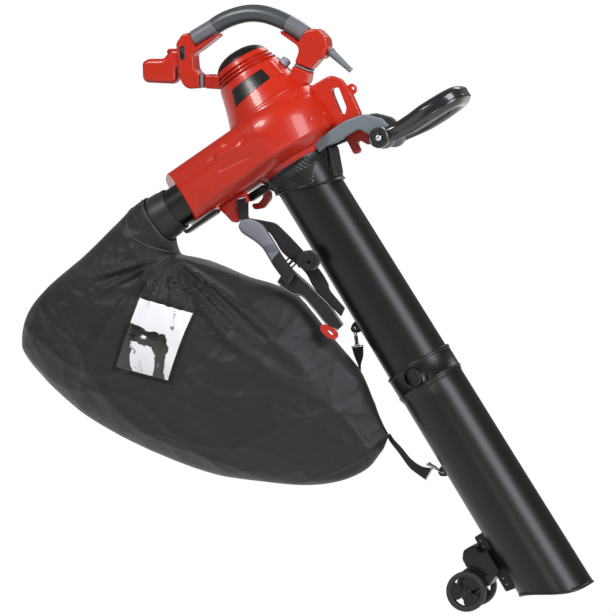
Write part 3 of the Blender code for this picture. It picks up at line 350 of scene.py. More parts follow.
def arithmetic(tree, operation, *values):
    """The output of a Math node with its inputs set or linked in order."""
    return add_node(tree, "ShaderNodeMath", {"operation": operation},
                    dict(enumerate(values))).outputs["Value"]


def new_material(name, **values):
    """A Principled material whose sockets are set directly, with underscores for spaces."""
    made = bpy.data.materials.new(name)
    made.use_nodes = True
    shader = made.node_tree.nodes["Principled BSDF"]
    for key, value in values.items():
        shader.inputs[key.replace("_", " ")].default_value = value
    return made, made.node_tree, shader


def noise(tree, where, scale, detail, **others):
    """The value of a noise pattern, whose patches are about 1 / scale metres wide."""
    inputs = {"Vector": where, "Scale": scale, "Detail": detail, **others}
    return add_node(tree, "ShaderNodeTexNoise", inputs=inputs).outputs["Fac"]


def coloured(tree, shader, share, first, second):
    """The base colour goes from the first sRGB colour to the second with the share."""
    add_node(tree, "ShaderNodeMix", {"data_type": "RGBA"},
             {"Factor": share, "A": linear(first), "B": linear(second)},
             {"Result": shader.inputs["Base Color"]})


def bumped(tree, shader, height, depth, strength=1.0):
    """A height pattern, in units of depth in millimetres, as bump on the shader."""
    add_node(tree, "ShaderNodeBump", None, {"Height": height, "Distance": depth * MM, "Strength": strength},
             {"Normal": shader.inputs["Normal"]})


def moulded_plastic(name, colour, cloud, roughness, grain_mm, grain_depth, coat=0.0, specular=0.5):
    """Injection moulded plastic: an even colour with faint clouds about 36 mm wide, and the fine stipple
    that a spark eroded mould leaves. The stipple, 0.05 mm in fact, is drawn as coarse as grain_mm so that
    it shows. A coat stands for a polished mould face."""
    made, tree, shader = new_material(name, Roughness=roughness, IOR=1.5, Coat_Weight=coat,
                                      Coat_Roughness=0.08, Specular_IOR_Level=specular)
    where = add_node(tree, "ShaderNodeTexCoord").outputs["Object"]
    coloured(tree, shader, noise(tree, where, 28.0, 3.0), colour, cloud)
    bumped(tree, shader, noise(tree, where, 1 / (grain_mm * MM), 2.0, Roughness=0.6), grain_depth)
    return made


# The width in metres of one band of a wave texture at scale 1
WAVE_BAND = 2 * math.pi / 20


def woven(name, colour, light, thread_mm, roughness=0.85, sheen=0.3):
    """Plain woven cloth: two crossed sets of threads as waves on the piece's own UV map, in metres, and
    lighter patches about 110 mm wide. The threads, about 0.5 mm in fact, are drawn as coarse as thread_mm
    so that they show."""
    made, tree, shader = new_material(name, Roughness=roughness, Sheen_Weight=sheen, Sheen_Roughness=0.4,
                                      Specular_IOR_Level=0.3)
    where = add_node(tree, "ShaderNodeTexCoord")
    threads = [add_node(tree, "ShaderNodeTexWave", {"bands_direction": direction},
                        {"Vector": where.outputs["UV"], "Scale": WAVE_BAND / (thread_mm * MM),
                         "Distortion": 0.6, "Detail": 1.0, "Detail Scale": 2.0}).outputs["Fac"]
               for direction in ("X", "Y")]
    coloured(tree, shader, noise(tree, where.outputs["Object"], 9.0, 4.0), colour, light)
    bumped(tree, shader, arithmetic(tree, "MAXIMUM", *threads), 0.15 * thread_mm, 0.6)
    return made


def clear_film():
    """Soft clear PVC film, calendered, over the dark inside of the bag. Its base colour is painted: white,
    as a painted reflection of the room, on crumpled patches about 90 mm wide, with crisp borders, and
    nearly black between them. The painted white patches grow towards the film's upper right."""
    # The bright colour is a painted reflection of the room; the dark one is the bag's inside seen through the
    # film.
    dark, bright = linear("#1E1E20"), linear("#F4F6F8")
    made, tree, shader = new_material("clear_pvc_film_painted_reflections", Roughness=0.12, IOR=1.53, Coat_Weight=0.4,
                                      Coat_Roughness=0.05)
    where = add_node(tree, "ShaderNodeTexCoord").outputs["Object"]
    drawn = add_node(tree, "ShaderNodeMapping",
                     inputs={"Vector": where, "Scale": (1.0, 1.0, 0.62), "Rotation": (0, 0.5, 0)})
    patches = noise(tree, drawn.outputs["Vector"], 11.0, 5.0, Roughness=0.55, Distortion=1.4)
    reflection_slope = add_node(tree, "ShaderNodeVectorMath", {"operation": "DOT_PRODUCT"},
                     {0: where, 1: (1.7, 0.0, 0.9)})
    level = arithmetic(tree, "ADD", patches, arithmetic(tree, "ADD", reflection_slope.outputs["Value"], 0.70))
    ramp = add_node(tree, "ShaderNodeValToRGB", None, {"Fac": level},
                    {"Color": shader.inputs["Base Color"]}).color_ramp
    ramp.elements[0].color, ramp.elements[1].color = dark, bright
    for place, shade in ((0.455, dark), (0.475, bright)):
        ramp.elements.new(place).color = shade
    bumped(tree, shader, patches, 4, 0.5)
    return made


# Injection moulded ABS from a polished mould: a deep even red with soft white lamp reflections
RED_ABS = moulded_plastic("polished_red_abs", "#C3270F", "#BB230C", 0.36, 0.9, 0.004, coat=0.3,
                          specular=0.35)
# Overmoulded thermoplastic elastomer: a dull dark grey with one broad highlight along its arch
SOFT_GRIP = moulded_plastic("soft_touch_elastomer", "#474C50", "#3F4447", 0.34, 0.5, 0.02)
# Moulded nylon from a fine grained mould: a flat lilac grey
GRIP_END = moulded_plastic("satin_grey_grip_shell", "#6E6F76", "#66676D", 0.34, 0.6, 0.01)
# Moulded soft rubber with a filler: a pale warm grey without shine
DAMPER_GREY = moulded_plastic("grey_damping_rubber", "#8D8A8C", "#7F7C7E", 0.5, 0.6, 0.01)
# Injection moulded polypropylene: black with a waxy grey highlight
BLACK_PP = moulded_plastic("satin_black_polypropylene", "#101110", "#151614", 0.33, 0.7, 0.02,
                           specular=0.36)
# Extruded polypropylene tube: black with one long soft streak
TUBE_PP = moulded_plastic("extruded_black_polypropylene", "#0D0E0C", "#111210", 0.36, 0.8, 0.012,
                          specular=0.36)
# Glass filled nylon from a polished mould: black with crisp bright highlights
BLACK_NYLON = moulded_plastic("polished_black_nylon", "#1A1B1B", "#202121", 0.22, 0.9, 0.003, coat=0.5)
# The fork's nylon from a grained mould, painted darker as shade on its far arm: a dark slate grey
SHADED_NYLON = moulded_plastic("satin_nylon_painted_shade", "#34383B", "#2E3235", 0.36, 0.6, 0.01)
# Moulded nylon in blue grey: matt, with a soft sheen on its upper edge
GREY_NYLON = moulded_plastic("satin_grey_nylon", "#737B81", "#6A7278", 0.36, 0.6, 0.01)
# Moulded ABS in pale lilac grey: the small knob stands out from the red
KNOB_ABS = moulded_plastic("satin_lilac_grey_abs", "#8E8FA0", "#858697", 0.38, 0.7, 0.01)
# Moulded synthetic rubber: black and matt
RUBBER = moulded_plastic("moulded_black_rubber", "#1B1B1B", "#222222", 0.62, 0.4, 0.03)
# Varnished plastic plate, left bare: smooth black with a broad grey reflection
PLATE_GLOSS = moulded_plastic("satin_black_plate", "#101010", "#161616", 0.34, 0.9, 0.002, coat=0.1)
# Coated woven polyester: near black with a slight silky shine on its folds
BAG_CLOTH = woven("woven_polyester_bag_cloth", "#1A1A1B", "#252527", 1.6, 0.46, 0.3)
# Woven polypropylene webbing: flat black with a fine rib
WEBBING = woven("woven_polypropylene_webbing", "#232324", "#2C2C2E", 1.8)
# Knitted spacer mesh in grey, dark lilac and black: soft and without shine
PAD_CLOTH = woven("grey_spacer_mesh", "#777981", "#82848C", 2.2)
PAD_BAND = woven("dark_lilac_spacer_mesh", "#5F606C", "#6A6B76", 2.2)
BACK_CLOTH = woven("black_spacer_mesh", "#1B1C1D", "#26272A", 2.2)
# Woven polyester binding tape: black, a little duller than the bag
BINDING = woven("woven_polyester_binding", "#161617", "#1C1C1E", 1.4)
# Folded polyester seam tape: a thin line of dark grey
SEAM_TAPE = new_material("dark_grey_seam_tape", Base_Color=linear("#3A3A3C"), Roughness=0.55)[0]
# Spun polyester thread: pale grey dots and lines on the black straps
THREAD = new_material("grey_polyester_thread", Base_Color=linear("#A8AAAD"), Roughness=0.6)[0]
WINDOW_FILM = clear_film()
# Zinc plated steel: bright, with a slightly blurred mirror of the room
STEEL = new_material("bright_zinc_plated_steel", Base_Color=linear("#C9CACC"), Metallic=1.0,
                     Roughness=0.25)[0]
# Nickel plated zinc casting: a darker mirror
HOOK_METAL = new_material("nickel_plated_hook", Base_Color=linear("#A2A3A6"), Metallic=1.0,
                          Roughness=0.22)[0]
# Enamelled copper wire: reddish brown with a varnish shine
COPPER = new_material("enamelled_copper", Base_Color=linear("#B4693A"), Metallic=1.0, Roughness=0.35)[0]
# Drawn brass: yellow and clean
BRASS = new_material("drawn_brass", Base_Color=linear("#B99A55"), Metallic=1.0, Roughness=0.3)[0]

SLOT_MATERIAL = {
    "red_shell": RED_ABS, "soft_grip": SOFT_GRIP, "black_rubber": RUBBER, "black_shell": BLACK_PP,
    "black_gloss": BLACK_NYLON, "tube_black": TUBE_PP, "grey_knob": KNOB_ABS, "grey_bracket": GREY_NYLON,
    "bag_cloth": BAG_CLOTH, "webbing": WEBBING, "pad_cloth": PAD_CLOTH, "bare_steel": STEEL,
    "hook_steel": HOOK_METAL, "copper_winding": COPPER, "brush_brass": BRASS,
}


def dress_frame():
    """Every CAD node gets its slot's material."""
    for node, thing in frame["nodes"].items():
        thing.data.materials.clear()
        thing.data.materials.append(SLOT_MATERIAL[SLOT_OF[node]])


dress_frame()


# Fan housing, motor cover and handle

def even_normals(piece):
    """Shading by face area, so that large flat faces stay flat beside their rounded edges."""
    change = piece.modifiers.new("even_normals", "WEIGHTED_NORMAL")
    change.keep_sharp = True
    return piece


def combined(piece, taken_out, joined=()):
    """The piece after exact Booleans, first with what is joined to it and then with what is taken out;
    the other pieces are deleted."""
    changes = [("UNION", other) for other in joined] + [("DIFFERENCE", other) for other in taken_out]
    for operation, other in changes:
        change = piece.modifiers.new(operation, "BOOLEAN")
        change.operation, change.object, change.solver = operation, other, "EXACT"
    graph = bpy.context.evaluated_depsgraph_get()
    graph.update()
    mesh = bpy.data.meshes.new_from_object(piece.evaluated_get(graph))
    piece.modifiers.clear()
    piece.data = mesh
    shaded(mesh, 32)
    for _, other in changes:
        bpy.data.objects.remove(other, do_unlink=True)
    return even_normals(piece)


def cutter(name, outline, low, high):
    """A plate with square edges, to be taken out of another piece."""
    return plate(name, outline, low, high, 0.01, rise=1)


def slab(name, outline, low, high, edge, material, node, rise=4):
    """A plate that shades evenly, dressed as the node's."""
    return dress(even_normals(plate(name, outline, low, high, edge, rise)), material, node)


def housing_section():
    """The wall in section as (inset, height): a quarter ellipse shoulder, a bulging band that
    leans in a little below the middle, a raised bead and the rounded tray."""
    angle = np.radians(np.linspace(90, 0, 15))
    wide, high, foot = 30, 44, -4
    shoulder = stacked(wide * (1 - np.cos(angle)), foot + high * np.sin(angle))
    band = stacked(2.5 * np.linspace(0.1, 1, 9) ** 1.6, np.linspace(-8, -35, 9))
    bead = [(2.7, -36.4), (3.0, -38.2), (3.2, -40.4), (3.5, -42.2), (4.0, -43.6), (4.4, -45.0)]
    tray = [(5, -46.2), (6.2, -48.5), (8.0, -51.6), (10.6, -54.6), (14, -56.9), (18, -58)]
    rough = np.vstack([shoulder, band, bead, tray])
    length = line_length(rough)
    fine = np.linspace(0, length[-1], 112)
    return stacked(np.interp(fine, length, rough[:, 0]), np.interp(fine, length, rough[:, 1]))


def housing_surface(name, grown=0.0, detail=True):
    """The scroll and its duct as rings P(s, v): along s the outline runs from the duct's far corner to
    the spiral, whose radius grows from 92 to 108 mm as it turns clockwise from 165 to -90 degrees, and
    back along the near side; v runs down the section, which moves the outline inwards by its inset.
    The valley where the duct leaves the spiral is smoothed, and the duct's end has rounded edges."""
    section = housing_section()
    middle, half = -9, 49
    level = middle + (section[:, 1] - middle) * (half + grown) / half
    deep = (section[:, 0] - grown)[:, None]
    turn = np.radians(np.linspace(165, -90, 150))
    flare = 15 * smooth_step(-39 - section[:, 1:], 0, 19)
    radius = np.linspace(92, 108, 150) - deep - flare
    spiral = stacked(SHAFT_X + radius * np.cos(turn), radius * np.sin(turn))
    near, far = np.array((-188.0, -94.0)), np.array((-236.0, -2.0))
    along = unit(far - near)
    out = np.array((along[1], -along[0])) * grown
    far_end = (far - out) - along * 1.05 * deep
    near_end = (near - out) + along * 1.18 * deep
    share, fine = np.linspace(0, 1, 50)[:, None, None], np.linspace(0, 1, 110)[:, None, None]
    far_line = np.moveaxis(far_end + (spiral[:, 0] - far_end) * share, 0, 1)[:, :-1]
    near_line = np.moveaxis(spiral[:, -1] + (near_end - spiral[:, -1]) * fine, 0, 1)[:, 1:]
    ring = np.concatenate([far_line, spiral, near_line], axis=1)
    valley_start, valley_end = 40, 58
    for _ in range(14):
        soft = (ring[:, :-2] + 2 * ring[:, 1:-1] + ring[:, 2:]) / 4
        ring[:, valley_start:valley_end] = soft[:, valley_start - 1:valley_end - 1]
    height = np.repeat(level[:, None], ring.shape[1], axis=1)
    if detail:
        ring = ring + housing_relief(ring, height)
    grid = np.concatenate([ring, height[..., None]], axis=-1)
    return skin(name, machine(grid), caps=True, sharp=32)


def housing_relief(ring, height):
    """The near side's moulded relief, as a shift along y: the duct's raised panel between its two
    creases, and the row of short slots round the front of the band."""
    x, y = ring[..., 0], ring[..., 1]
    near = smooth_step(-y, 40, 55)

    def bell(low, high, width, fade):
        line = np.interp(x, (low[0], high[0]), (low[1], high[1]))
        start = smooth_step(x, low[0] - fade, low[0] + fade)
        end = smooth_step(high[0] + fade - x, 0, 2 * fade)
        return start * end * np.exp(-((height - line) / width) ** 2)

    creases = bell((-76, 20), (-36, 13), 3.6, 8) + bell((-112, -10), (-40, -21), 3.4, 12)
    ridge = bell((-98, 11), (-50, 4), 5.5, 6) + 0.8 * bell((-196, 15), (-112, 13), 3.0, 10)
    foot = smooth_step(-27 - height, 0, 1.5) * smooth_step(x, -172, -160) * smooth_step(-60 - x, 0, 25)
    turn = np.arctan2(y, x - SHAFT_X)
    angle = np.degrees(turn)
    slots = smooth_step(np.cos(18 * turn), 0.1, 0.5) * smooth_step(angle, -38, -36)
    slots = slots * smooth_step(12 - angle, 0, 2) * smooth_step(3.0 - np.abs(height + 20), 0, 1.6)
    shift = (2.3 * creases - 3.0 * ridge - 1.6 * foot) * near
    return stacked(0, shift) - 2.2 * slots[..., None] * stacked(np.cos(turn), np.sin(turn))


def rod(name, radius, low, high):
    """A solid rod on the shaft's line, to be taken out of the housing."""
    return turned(name, [(0, low), (radius, low), (radius, high), (0, high)], 64)


def housing():
    """The red fan housing: the scroll and the intake's cone, hollow, with the three round openings."""
    shell = housing_surface("fan_housing")
    cone = [(0, -44), (82, -44), (80.6, -46.2), (66.4, -64.4), (65, -66), (0, -66)]
    duct = rod("duct_hole", 36.4, -60, 60)
    place = np.empty(len(duct.data.vertices) * 3)
    duct.data.vertices.foreach_get("co", place)
    place = place.reshape(-1, 3) @ SIDEWAYS.T + DUCT_MIDDLE
    duct.data.vertices.foreach_set("co", place.ravel())
    taken_out = (housing_surface("chamber", -3.0, False), rod("intake_hole", 57, -90, -20),
                 rod("shaft_hole", 22, 20, 60), duct)
    combined(shell, taken_out, [turned("intake_cone", cone)])
    dress(shell, RED_ABS, "scroll_near_half")
    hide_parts("scroll_near_half", "scroll_far_half")


def quarter_turn():
    """The turn, in the upright frame, that lays a piece on the shaft along the machine's X axis, and the
    shift that then puts it in the duct's end."""
    origin, ahead, above, shaft, duct = machine([(0, 0, 0), (1, 0, 0), (0, 0, 1), (SHAFT_X, 0, 0),
                                                 (-211, -50, -17)])
    x, y, z = (ahead - origin) / MM, np.array((0.0, 1.0, 0.0)), (above - origin) / MM
    turn = np.outer(x, z) + np.outer(y, y) - np.outer(z, x)
    return turn, duct - turn @ shaft


SIDEWAYS, DUCT_MIDDLE = quarter_turn()
housing()


def dome_radius(height):
    """The motor cover's outer radius at a height, rounded between its knots."""
    fine = np.linspace(22, 142, 121)
    plain = np.interp(fine, (22, 40, 57, 78, 96, 113, 142), (86.5, 82, 75.5, 68.5, 63.5, 59.5, 47.5))
    for _ in range(6):
        plain[1:-1] = (plain[:-2] + 2 * plain[1:-1] + plain[2:]) / 4
    return np.interp(height, fine, plain)


def motor_cover():
    """The dome over the motor: the profile r(z) with three deep cooling grooves, the skirt's rolled foot
    and a hollow inside, turned about the shaft, and its two feet under the handle."""
    heights = np.concatenate([np.linspace(142, 113, 116), np.linspace(112, 24, 60)])
    deep, half_wide, top_round, skirt = 4.6, 2.5, 1.6, 1.4
    cuts = [smooth_step(half_wide - np.abs(heights - groove), 0, 0.5) for groove in (130, 123, 116)]
    radius = dome_radius(heights) - deep * np.clip(sum(cuts), 0, 1)
    radius -= top_round * (1 - round_rim(142 - heights, top_round))
    outer = stacked(radius + skirt * smooth_step(46 - heights, 0, 5), heights)
    inner = [(84, 21.2), (77, 22), (77, 30), (64, 78), (51.5, 116), (42, 136), (42, 142)]
    profile = np.vstack([outer, inner])
    dome = turned("motor_dome", profile, 144, (0.0, 0.0), closed=True, sharp=50)
    dress(dome, RED_ABS, "motor_cover")
    rear = filleted([(-77.8, 136, 4), (-64.8, 157, 4), (-36, 136, 4), (-45, 112, 4)])
    front = filleted([(99, 56, 4), (82, 82, 4), (70, 74, 4), (40, 66, 4), (40, 43, 4), (86, 43, 4)])
    for name, outline in (("rear_foot", rear), ("front_foot", front)):
        slab(name, outline, -18, 18, 3.5, RED_ABS, "motor_cover")
    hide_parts("motor_cover")


motor_cover()


def dome_patch(name, corners, rise, edge, count):
    """A raised patch of the dome: a bilinear grid between four (x, z) corners lies on the dome at
    y = -sqrt(r(z)^2 - x^2) and moves out by the rise, which rounds down into the dome at its rim."""
    flat, sunk = between(corners, count), 2.0
    x, z = flat[..., 0], flat[..., 1]
    radius = dome_radius(z) - sunk + (sunk + rise) * round_rim(rim_distance(flat), edge)
    depth = -np.sqrt(np.maximum(radius ** 2 - x ** 2, 1.0))
    return skin(name, machine(stacked(x, depth, z)), wrap_columns=False, sharp=60)


def cover_trim():
    """The bare label plate, the lip and the four slanted ribs of the skirt, and the raised panel."""
    patches = [("bare_plate", [(-26, 100), (40, 104), (47, 79), (-35, 68)], 1.0, 1.6, (40, 18)),
               ("skirt_lip", [(-62, 43), (68, 53), (70, 44), (-64, 34)], 2.6, 4.0, (90, 14))]
    for number, foot in enumerate((-6, 10, 25, 38)):
        rib = [(foot + 7, 33), (foot + 13, 33), (foot + 7, 24), (foot + 1, 24)]
        patches.append((f"skirt_rib_{number}", rib, 2.2, 1.8, (12, 14)))
    patches.append(("dome_panel", [(42, 110), (56, 110), (64, 77), (50, 77)], 1.8, 2.5, (18, 30)))
    for name, corners, rise, edge, count in patches:
        material = PLATE_GLOSS if name == "bare_plate" else RED_ABS
        dress(dome_patch(name, corners, rise, edge, count), material, "motor_cover")


cover_trim()


def vent_cap():
    """The dark cap: a shallow dome with a rolled rim over the cover's bore."""
    profile = [(0, 161), (7, 160.8), (14, 160.2), (21, 159.2), (27, 157.6), (33, 155.2), (38, 152.4),
               (42.5, 149), (45.6, 145.6), (47, 143.4), (47.2, 142.4), (46.6, 142.1), (44, 142.3),
               (36, 149.5), (20, 156), (0, 157.8)]
    cap = turned("vent_dome", profile, 96, (0.0, 0.0), sharp=50)
    dress(cap, BLACK_PP, "vent_cap")
    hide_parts("vent_cap")


vent_cap()


def along_path(name, path, wide, high, sides=40, place=machine, lean=(0.0, 1.0, 0.0), sharp=40.0,
               groove=None):
    """A bar with an elliptic section carried along a path: P(s, a) = C(s) + w(s) cos(a) B(s) +
    h(s) sin(a) N(s), where N is the path's normal in its own plane, and B is square to both. A groove of
    (depth share, width) runs along both sides, at the ends of the N axis, between two ridges."""
    along = unit(np.gradient(path, axis=0))
    normal = unit(np.cross(along, lean))
    across = np.cross(normal, along)
    angle = full_turn(sides)
    wide, high = (np.broadcast_to(value, len(path))[:, None, None] for value in (wide, high))
    if groove:
        off = np.arcsin(np.clip(np.cos(angle), -1, 1))
        ridges = np.exp(-((np.abs(off) - 0.5) / 0.16) ** 2)
        dent = groove[0] * (np.exp(-(off / groove[1]) ** 4) - 0.45 * ridges)
        high = high * (1 - dent)[:, None]
    grid = (path[:, None] + wide * np.cos(angle)[:, None] * across[:, None]
            + high * np.sin(angle)[:, None] * normal[:, None])
    return skin(name, place(grid), caps=True, sharp=sharp)


# The arched middle line of the main grip, as (x, z) knots
GRIP_LINE = np.array([(-52, 221.5), (-18, 219.5), (15, 218), (50, 208), (77, 191), (99, 166), (116, 138),
                      (126, 116)])


def main_grip():
    """The grip, a bar 31 mm thick: a soft middle part between two grey end shells, with a fine groove at
    each joint and slightly rounded ends."""
    path = through(np.insert(GRIP_LINE, 1, 0, axis=1), 260)
    length = line_length(path)
    joints = (46.0, length[-1] - 40.0)
    half_thick, end_round, groove = 15.5, 1.2, 0.9
    radius = half_thick - end_round * (1 - round_rim(np.minimum(length, length[-1] - length), 3))
    for joint in joints:
        radius -= groove * smooth_step(1.3 - np.abs(length - joint), 0, 0.9)
    first, last = np.searchsorted(length, joints)
    shells = (("rear_shell", slice(0, first + 1), GRIP_END),
              ("soft_grip", slice(first, last + 1), SOFT_GRIP),
              ("front_shell", slice(last, None), GRIP_END))
    for name, part, material in shells:
        shell = along_path(name, path[part], radius[part], radius[part] * 0.985, 56)
        dress(shell, material, "main_grip")
        if material == SOFT_GRIP:
            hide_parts("main_grip")


main_grip()


# Tube

TUBE_TOP, SOCKET_TOP = -66.3, -470.0


def collar_low(x):
    """The height of the collar's slanted lower edge at x."""
    return np.interp(x, (-75, -40, 30, 50), (-91, -100, -125, -131))


def collar_surface():
    """The collar as rings P(a, v): v runs down the outside from the neck to the slanted lower edge, which
    carries a rolled lip, and back up inside. The near side has a panel of fine diagonal ribs."""
    angle = full_turn(288)
    low = collar_low(SHAFT_X + 60 * np.cos(angle))
    share = np.linspace(0, 1, 60)[:, None]
    height = TUBE_TOP + (low - TUBE_TOP) * share
    radius = np.interp(-height, (66.3, 74, 78, 84, 170), (65, 64.0, 62.4, 59.2, 58.4))
    left = low - height
    radius = radius + 1.3 * smooth_step(left, -3.6, -2.8) - 1.0 * smooth_step(left, -0.9, 0)
    x = SHAFT_X + radius * np.cos(angle)
    rear, front = -52 + (height + 69) * 0.2, 36 + (height + 76) * 0.63
    panel = smooth_step(x - rear, 0, 1) * smooth_step(front - x, 0, 1) * smooth_step(-70 - height, 0, 1.5)
    panel = panel * smooth_step(-left, 3.4, 4.6) * (np.sin(angle) < 0)
    pitch, across_x, across_z, rise = 5.8, 0.904, 0.427, 1.1
    ribs = 0.5 + 0.5 * np.cos((x * across_x + height * across_z) * 2 * math.pi / pitch)
    radius = radius + rise * panel * smooth_step(ribs, 0.30, 0.65)
    outer = about(SHAFT, radius, angle, height)
    inner = np.stack([about(SHAFT, 55.2, angle, edge) for edge in (low, TUBE_TOP)])
    return skin("collar_ring", machine(np.concatenate([outer, inner])), wrap_rows=True, sharp=50)


def tube_collar():
    """The black collar with its rear knuckle and front boss."""
    ring = dress(collar_surface(), BLACK_PP, "tube_collar")
    knuckle = filleted([(-119, -61, 5), (-119, -75, 5), (-104, -75, 3), (-66, -76, 0), (-66, -68, 0),
                        (-78, -68, 1), (-82, -61, 2)])
    slab("collar_knuckle", knuckle, -11, 11, 2.5, BLACK_PP, "tube_collar")
    boss = filleted([(30, TUBE_TOP, 0), (64, TUBE_TOP, 2), (63, -80, 12), (45, -124, 14), (30, -126, 3)])
    slab("collar_boss", boss, -23.5, 23.5, 4, BLACK_PP, "tube_collar")
    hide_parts("tube_collar")


tube_collar()


def mouth_height(x):
    """The slanted, slightly S shaped mouth: its height falls by a cosine from the rear to the front."""
    share = np.clip((x - (SHAFT_X - 61)) / 122, 0, 1)
    return -908 - 44 * (1 - np.cos(math.pi * share)) / 2


def lower_ring(angle, mouth, height):
    """A ring of the lower tube's outside, which widens slowly and ends in a bead round the mouth."""
    radius = np.interp(-height, (540, 700, 960), (58.2, 59, 61))
    above = mouth - height
    bead = 1.5 * smooth_step(above, -4.6, -3.8) - 0.9 * smooth_step(above, -0.8, 0)
    return about(SHAFT, radius + bead, angle, height)


def tubes():
    """The upper tube, turned, and the lower one, whose rings slant more and more towards the mouth:
    z(t, a) = (1 - t) z0 + t mouth(x(a)), with four more rings on the bead, and a lipped socket."""
    profile = [(54.8, -70), (54.8, -170), (57, SOCKET_TOP), (57, SOCKET_TOP - 33), (56.4, SOCKET_TOP - 34),
               (54.5, SOCKET_TOP - 34), (54.5, SOCKET_TOP), (52.3, -170), (52.3, -70)]
    upper = turned("upper_pipe", profile, 128, closed=True)
    dress(upper, TUBE_PP, "upper_tube")
    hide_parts("upper_tube")

    angle = full_turn(192)
    mouth = mouth_height(SHAFT_X + 61 * np.cos(angle))
    head = [(57.4, -470.3), (60.9, -470), (61.5, -471), (61.5, -474.6), (60.9, -475.6), (60.3, -476),
            (60.2, -507.4), (60.9, -508), (61.4, -508.8), (61.4, -511.2), (60.9, -512), (60.2, -512.6),
            (60.2, -513.4), (59.9, -515.5), (58.8, -518.4), (58.1, -520.5)]
    start = -540.0
    heights = [start + (mouth - start) * t for t in np.linspace(0, 1, 40)]
    heights[-1:-1] = [mouth + back for back in (4.4, 3.4, 1.2, 0.5)]
    inner = [(58.2, mouth), (57.6, mouth + 2), (56.4, -700.0), (55.6, -508.0), (57.4, -506.0)]
    rings = [about(SHAFT, radius, angle, height) for radius, height in head]
    rings += [lower_ring(angle, mouth, height) for height in heights]
    rings += [about(SHAFT, radius, angle, height) for radius, height in inner]
    lower = skin("lower_pipe", machine(np.stack(rings)), wrap_rows=True, sharp=50)
    dress(lower, TUBE_PP, "lower_tube")
    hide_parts("lower_tube")


tubes()


# The axis on which the front handle folds
PIVOT_X, PIVOT_Z = 158.0, -113.0


def front_handle():
    """The folding bow: one bar from eye to eye, oval and slim at the pivots and round at the cross bar,
    in the plane through the pivot."""
    arm = [(0, -47, -1), (18, -47, -3.5), (34, -47, -6), (58, -47, -8), (86, -47, -8)]
    bend = [(86 + 55 * math.sin(t), -47 + 32 * (1 - math.cos(t)), -8) for t in np.radians((22, 45, 67, 90))]
    half = np.array(arm + bend, float)
    path = through(np.vstack([half, (half * (1, -1, 1))[::-1]]), 220)
    size = [(0.40, 0.78), (0.43, 0.80), (0.46, 0.82), (0.76, 0.92)] + [(1, 1)] * 5
    high, wide = 17.5 * through(np.array(size + size[::-1]), 220).T
    bow = along_path("bow_bar", path + (PIVOT_X, 0, PIVOT_Z), wide, high, 64, lean=(0, 0, 1),
                     groove=(0.085, 0.30))
    dress(bow, BLACK_NYLON, "front_handle")
    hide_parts("front_handle")
    eye = [(4.3, -7.5), (12, -7.5), (14.6, -7.1), (16.4, -5.6), (17, -4), (17, 4), (16.4, 5.6), (14.6, 7.1),
           (12, 7.5), (4.3, 7.5)]
    for name, y in (("bow_near_eye", -47), ("bow_far_eye", 47)):
        dress(cross_turned(name, eye, PIVOT_X, PIVOT_Z, y), BLACK_NYLON, "front_handle")


front_handle()


# Mouldings drawn by their side view

def moulding(node, name, corners, half, edge, material, middle=0.0, holes=(), cut=()):
    """A moulded piece: its filleted side view given a thickness and round edges, less any holes."""
    low, high, beyond = middle - half, middle + half, 9
    body = plate(name, filleted(corners), low, high, edge, rise=5)
    gaps = [cutter(f"{name}_hole_{number}", filleted(hole), low - beyond, high + beyond)
            for number, hole in enumerate(holes)]
    if gaps or cut:
        combined(body, (*gaps, *cut))
        rounded_edges(body, 0.5, 50)
        body.modifiers.move(len(body.modifiers) - 1, 0)
    else:
        even_normals(body)
    dress(body, material, node)
    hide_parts(node)


def grip_slot(name):
    """The space of the grip seen from the side, cut right across a post and open above."""
    path = through(GRIP_LINE, 90)
    along = unit(np.gradient(path, axis=0))
    normal = stacked(-along[:, 1], along[:, 0])
    outline = np.vstack([path + 31 * normal, (path - 15.6 * normal)[::-1]])
    return cutter(name, outline, -22, 22)


def handle_posts():
    """The two red posts with their saddles under the grip, and the pod behind the rear one."""
    rear = [(-44, 232, 8), (-62, 238, 12), (-80, 231, 12), (-108, 175, 26), (-109, 154, 18),
            (-85.5, 141, 4.5), (-72.5, 162, 4.5), (-76, 174, 16), (-63, 198, 8), (-50, 197, 5),
            (-4, 200, 4.5), (-16, 222, 5)]
    well = cutter("switch_well", switch_outline(12.7, 4.7), -24, -12)
    moulding("rear_post", "rear_post_shell", rear, 18, 4.3, RED_ABS, cut=(grip_slot("rear_slot"), well))
    front = [(86, 84, 4.5), (109, 101, 14), (91, 142, 5), (104, 150, 6), (122, 122, 8), (140, 119, 14),
             (153, 111, 14), (158, 88, 14), (152, 75, 12), (134, 61, 7), (127, 65, 5), (104, 59, 4.5)]
    moulding("front_post", "front_post_shell", front, 18, 4.3, RED_ABS, cut=(grip_slot("front_slot"),))
    pod = [(-84, 190, 10), (-72, 214, 10), (-94, 229, 9), (-116, 222, 10), (-140, 237, 10), (-153, 239, 9),
           (-172, 208, 12), (-119, 171, 10), (-105, 193, 9)]
    seat, eye = cutter("tail_seat", inset(filleted(rear), -0.3), -20, 20), (-100, 226)
    moulding("handle_tail", "tail_pod", pod, 15, 8.9, RED_ABS, holes=(circle(*eye, 2.6),), cut=(seat,))
    moulding("handle_tail", "tail_eye", circle(*eye, 5.6), 6, 1.2, RED_ABS, middle=-3,
             holes=(circle(*eye, 2.4),))


def switch_outline(long, wide):
    """A stadium round the switch's middle, half as long and half as wide as given."""
    middle, way = np.array((-78, 210)), unit(np.array((13.6, 21.8)))
    side = np.array((-way[1], way[0]))
    turn = np.linspace(-math.pi / 2, math.pi / 2, 12)[:, None]
    end = (long - wide + wide * np.cos(turn)) * way + wide * np.sin(turn) * side
    return np.vstack([middle + end, middle - end])


